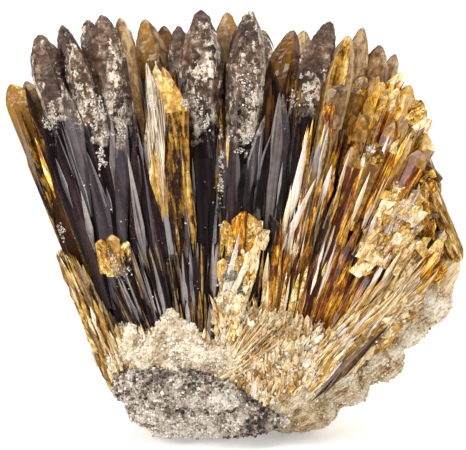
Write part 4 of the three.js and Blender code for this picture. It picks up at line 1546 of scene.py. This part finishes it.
def cream_blocks():
    """The large blocks, each with six small ones on its front."""
    chance = random.Random(48)
    made = Growth()
    for (x, z), size, tint in CREAM_BLOCKS:
        at = Vector((x, -17 + chance.uniform(-0.6, 0.6), z))
        made.add(rhomb(
            at, size, Vector((0.5, 0, 1)) + jitter(chance, 0.12), chance,
            chance.uniform(-25, 25), lean=0.15, tint=tint, glass=FROST,
        ))
        for _ in range(6):
            wide, high = (0.6 * size[i] * chance.uniform(-1, 1) for i in (0, 2))
            small = chance.uniform(1.2, 3)
            made.add(rhomb(
                at + Vector((wide + 0.4 * high, -1.5, high)),
                (small, small, small * chance.uniform(0.7, 1.8)),
                Vector((0.5, 0, 1)) + jitter(chance, 0.4), chance, chance.uniform(-45, 45),
                tint=chance.random(), glass=chance.choice((FROST, FROST, CLOUDY, HONEY)),
            ))
    made.piece("cream_blocks", "golden_crystal_fan", *FINISHES)


cream_blocks()


# Tips of the honey crystals along the upper right edge, as x and z.
HONEY_RIM = ((35.6, 81.6), (38, 78.2), (39.8, 75.2), (40.9, 71.8), (41.8, 67.8))


def honey_points(count):
    """Blunt crystals, packed side by side, that close the golden fan's upper corner."""
    chance = random.Random(46)
    made = Growth()
    spots = list(HONEY_RIM)
    while len(spots) < count:
        x, z = chance.uniform(26, 41), chance.uniform(64, 83)
        if z < 83 - 1.15 * max(0, x - 33):
            spots.append((x, z))
    for x, z in spots:
        tip = Vector((x, -18.5 + 0.3 * (z - 64) + chance.uniform(-1, 1), z))
        width = chance.uniform(3.6, 6)
        tint = chance.uniform(-0.5, 0.8)
        made.add(crystal(
            GOLD_HEART.lerp(tip, 0.78) + jitter(chance, 1), tip, width,
            width * chance.uniform(0.6, 1.1), root_width=width * 0.8,
            turn=chance.uniform(0, 60), end=BLUNT_POINT, tint=tint,
            threefold=0.3, skew=(chance.uniform(-0.8, 0.8), chance.uniform(-0.5, 0.5)),
            sides=chance.choice((4, 5, 6)), glass=chance.choice((CLOUDY, GOLD)),
            skins=((GOLD, 0.25), (BROWN, 0.15), (HONEY, 0.1)),
            cap=chance.choice((CLOUDY, CLOUDY, CLOUDY, FROST, HONEY)), chance=chance,
        ))
    made.piece("honey_points", "golden_crystal_fan", *FINISHES)


honey_points(count=44)
edge_slabs()

# ---------------------------------------------------------------- crumbs on the crystals


def seen_from_front(pieces):
    """A tree that finds where a ray from the front first meets the pieces, in millimetres."""
    corners, sides = [], []
    for piece in pieces:
        start = len(corners)
        corners += [vert.co / MM for vert in piece.data.vertices]
        sides += [[start + i for i in face.vertices] for face in piece.data.polygons]
    return BVHTree.FromPolygons(corners, sides)


def crumbs(tree, chance, patches):
    """Spots for crumbs where a ray from the front meets a crystal, in ragged patches."""
    spots = []
    for x, z, wide, high, count in patches:
        for _ in range(count):
            angle, far = chance.uniform(0, math.tau), math.sqrt(chance.random())
            at = Vector((x + wide * far * math.cos(angle), CRUMB_START_Y,
                         z + high * far * math.sin(angle)))
            ragged = noise.noise(at * 0.45) * 0.6 + noise.noise(at * 1.6) * 0.5
            if ragged < far * 0.5 - 0.2:
                continue
            hit, normal = tree.ray_cast(at, Vector((0, 1, 0)), CRUMB_REACH)[:2]
            if hit is None:
                continue
            size = 0.1 + 0.3 * chance.random() ** 3
            spots.append((hit + normal * size * 0.1, loose_turn(chance), size, chance.random()))
    return spots


# Middle as x and z, half width, half height, and how many crumbs are tried.
CRUMB_PATCHES = (
    (-38.5, 71, 3.2, 4, 900), (-28, 72, 4, 7, 2550), (-27.7, 64, 1.4, 6, 1050),
    (-24, 70, 2.4, 5, 600), (-8, 74, 3, 3, 600), (3, 77, 4, 6, 900), (2, 67, 3, 4, 900),
    (-5.5, 69, 1.2, 3, 450), (14.5, 75, 3, 3, 450), (28.8, 64.2, 1.6, 1.6, 750),
    (-37.5, 46.5, 1.2, 3, 300), (-24, 38, 3, 5, 450), (0, 38, 4, 8, 900),
    (-17, 78, 1.2, 6, 300), (36, 50, 5, 8, 1350), (-2.5, 58, 0.8, 12, 900),
    (8, 24, 16, 10, 1050), (-12, 50, 26, 20, 255),
)
CRUMB_START_Y, CRUMB_REACH = -60, 75  # crumbs fly in from there, and no further than that
front_tree = seen_from_front(crystal_pieces)
strew("crumbs", "cream_crust", crumbs(front_tree, random.Random(51), CRUMB_PATCHES), white_crumbs)

# ---------------------------------------------------------------- floor, light and camera


def softbox(name, place_at, size, glow, aim=(0, 0, 50), colour=(1, 1, 1)):
    """A rectangular softbox; glow is the radiance of its face."""
    light = bpy.data.lights.new(name, "AREA")
    light.shape = "RECTANGLE"
    light.size, light.size_y = (side * MM for side in size)
    light.energy = glow * math.pi * light.size * light.size_y
    light.color = colour
    made = put_in_scene(name, light)
    made.location = Vector(place_at) * MM
    towards = (Vector(aim) - Vector(place_at)).normalized()
    made.rotation_euler = towards.to_track_quat("-Z", "Y").to_euler()


softbox("left softbox", (-380, -220, 170), size=(300, 400), glow=3.8, colour=(1, 0.96, 0.96))
softbox("left strip", (-180, -380, 200), size=(40, 300), glow=9)
softbox("right softbox", (400, -260, 200), size=(220, 400), glow=3.2)
softbox("top softbox", (0, -80, 420), size=(360, 300), glow=3.4)
softbox("back softbox", (120, 360, 220), size=(300, 260), glow=3, aim=(10, 0, 50))


def pale_floor():
    """White far off; under the crystals pale, and dark in their reflections."""
    made, tree, shader = new_material("pale floor")
    away = node(tree, "ShaderNodeVectorMath", operation="LENGTH")
    join(tree, object_space(tree), away.inputs[0])
    far_off = spread(tree, away.outputs["Value"], 50 * MM, 400 * MM)
    join(tree, ramp(tree, far_off, (0, (0.85, 0.85, 0.85)), (1, (0, 0, 0))),
         shader.inputs["Base Color"])
    fix(shader, Roughness=0.7, Specular_IOR_Level=0, Emission_Color=(1, 1, 1, 1))
    join(tree, spread(tree, far_off, 0, 1, start=0.3), shader.inputs["Emission Strength"])
    dim = node(tree, "ShaderNodeBsdfDiffuse")
    dim.inputs[0].default_value = (0.1, 0.1, 0.1, 1)
    mixed = node(tree, "ShaderNodeMixShader")
    join(tree, node(tree, "ShaderNodeLightPath").outputs["Is Glossy Ray"], mixed.inputs[0])
    join(tree, shader.outputs[0], mixed.inputs[1])
    join(tree, dim.outputs[0], mixed.inputs[2])
    join(tree, mixed.outputs[0], tree.nodes["Material Output"].inputs["Surface"])
    return made


def lay_floor(half):
    bm = bmesh.new()
    bmesh.ops.create_grid(bm, x_segments=1, y_segments=1, size=half * MM)
    mesh = bpy.data.meshes.new("floor")
    bm.to_mesh(mesh)
    bm.free()
    mesh.materials.append(pale_floor())
    put_in_scene("floor", mesh)


def studio():
    """White to the camera; to the crystals bright behind and at the sides, and dark in front."""
    world = bpy.data.worlds.new("studio")
    world.use_nodes = True
    bpy.context.scene.world = world
    sky = world.node_tree
    rays = node(sky, "ShaderNodeLightPath").outputs
    heading = node(sky, "ShaderNodeSeparateXYZ")
    join(sky, node(sky, "ShaderNodeTexCoord").outputs["Generated"], heading.inputs[0])
    behind = spread(sky, heading.outputs["Y"], -0.4, 0.5, start=0.35, end=1.3)
    sideways = math_node(sky, "ABSOLUTE", heading.outputs["X"])
    aside = spread(sky, sideways, 0.55, 0.9, start=0.06, end=1.3)
    lit = node(sky, "ShaderNodeMix", data_type="FLOAT")
    join(sky, rays["Is Glossy Ray"], lit.inputs[0])
    join(sky, behind, lit.inputs[2])
    join(sky, aside, lit.inputs[3])
    colour = blend_colour(sky, rays["Is Glossy Ray"], (1, 1, 1), (1, 0.9, 0.88))
    strength = math_node(sky, "MAXIMUM", rays["Is Camera Ray"], lit.outputs[0])
    join(sky, colour, sky.nodes["Background"].inputs["Color"])
    join(sky, strength, sky.nodes["Background"].inputs["Strength"])


def camera_in_front(target, tilt, seen_width, lens=100, sensor=36):
    """A long lens that looks slightly down and takes in seen_width at the target."""
    camera = put_in_scene("camera", bpy.data.cameras.new("camera"))
    bpy.context.scene.camera = camera
    camera.data.lens = lens
    camera.data.sensor_width = sensor
    tilt = math.radians(tilt)
    back = Vector((0, -math.cos(tilt), math.sin(tilt)))
    camera.location = (target + back * (seen_width * lens / sensor)) * MM
    camera.rotation_euler = (-back).to_track_quat("-Z", "Y").to_euler()
    camera.data.clip_start, camera.data.clip_end = 0.01, 20


lay_floor(half=3000)
studio()
camera_in_front(Vector((0, 0, 46.5)), tilt=6, seen_width=106)

scene = bpy.context.scene
scene.view_settings.view_transform = "Standard"
scene.cycles.max_bounces = 16
scene.cycles.transmission_bounces = 12
scene.cycles.transparent_max_bounces = 24
scene.cycles.caustics_refractive = False
scene.cycles.caustics_reflective = False
scene.cycles.sample_clamp_indirect = 8
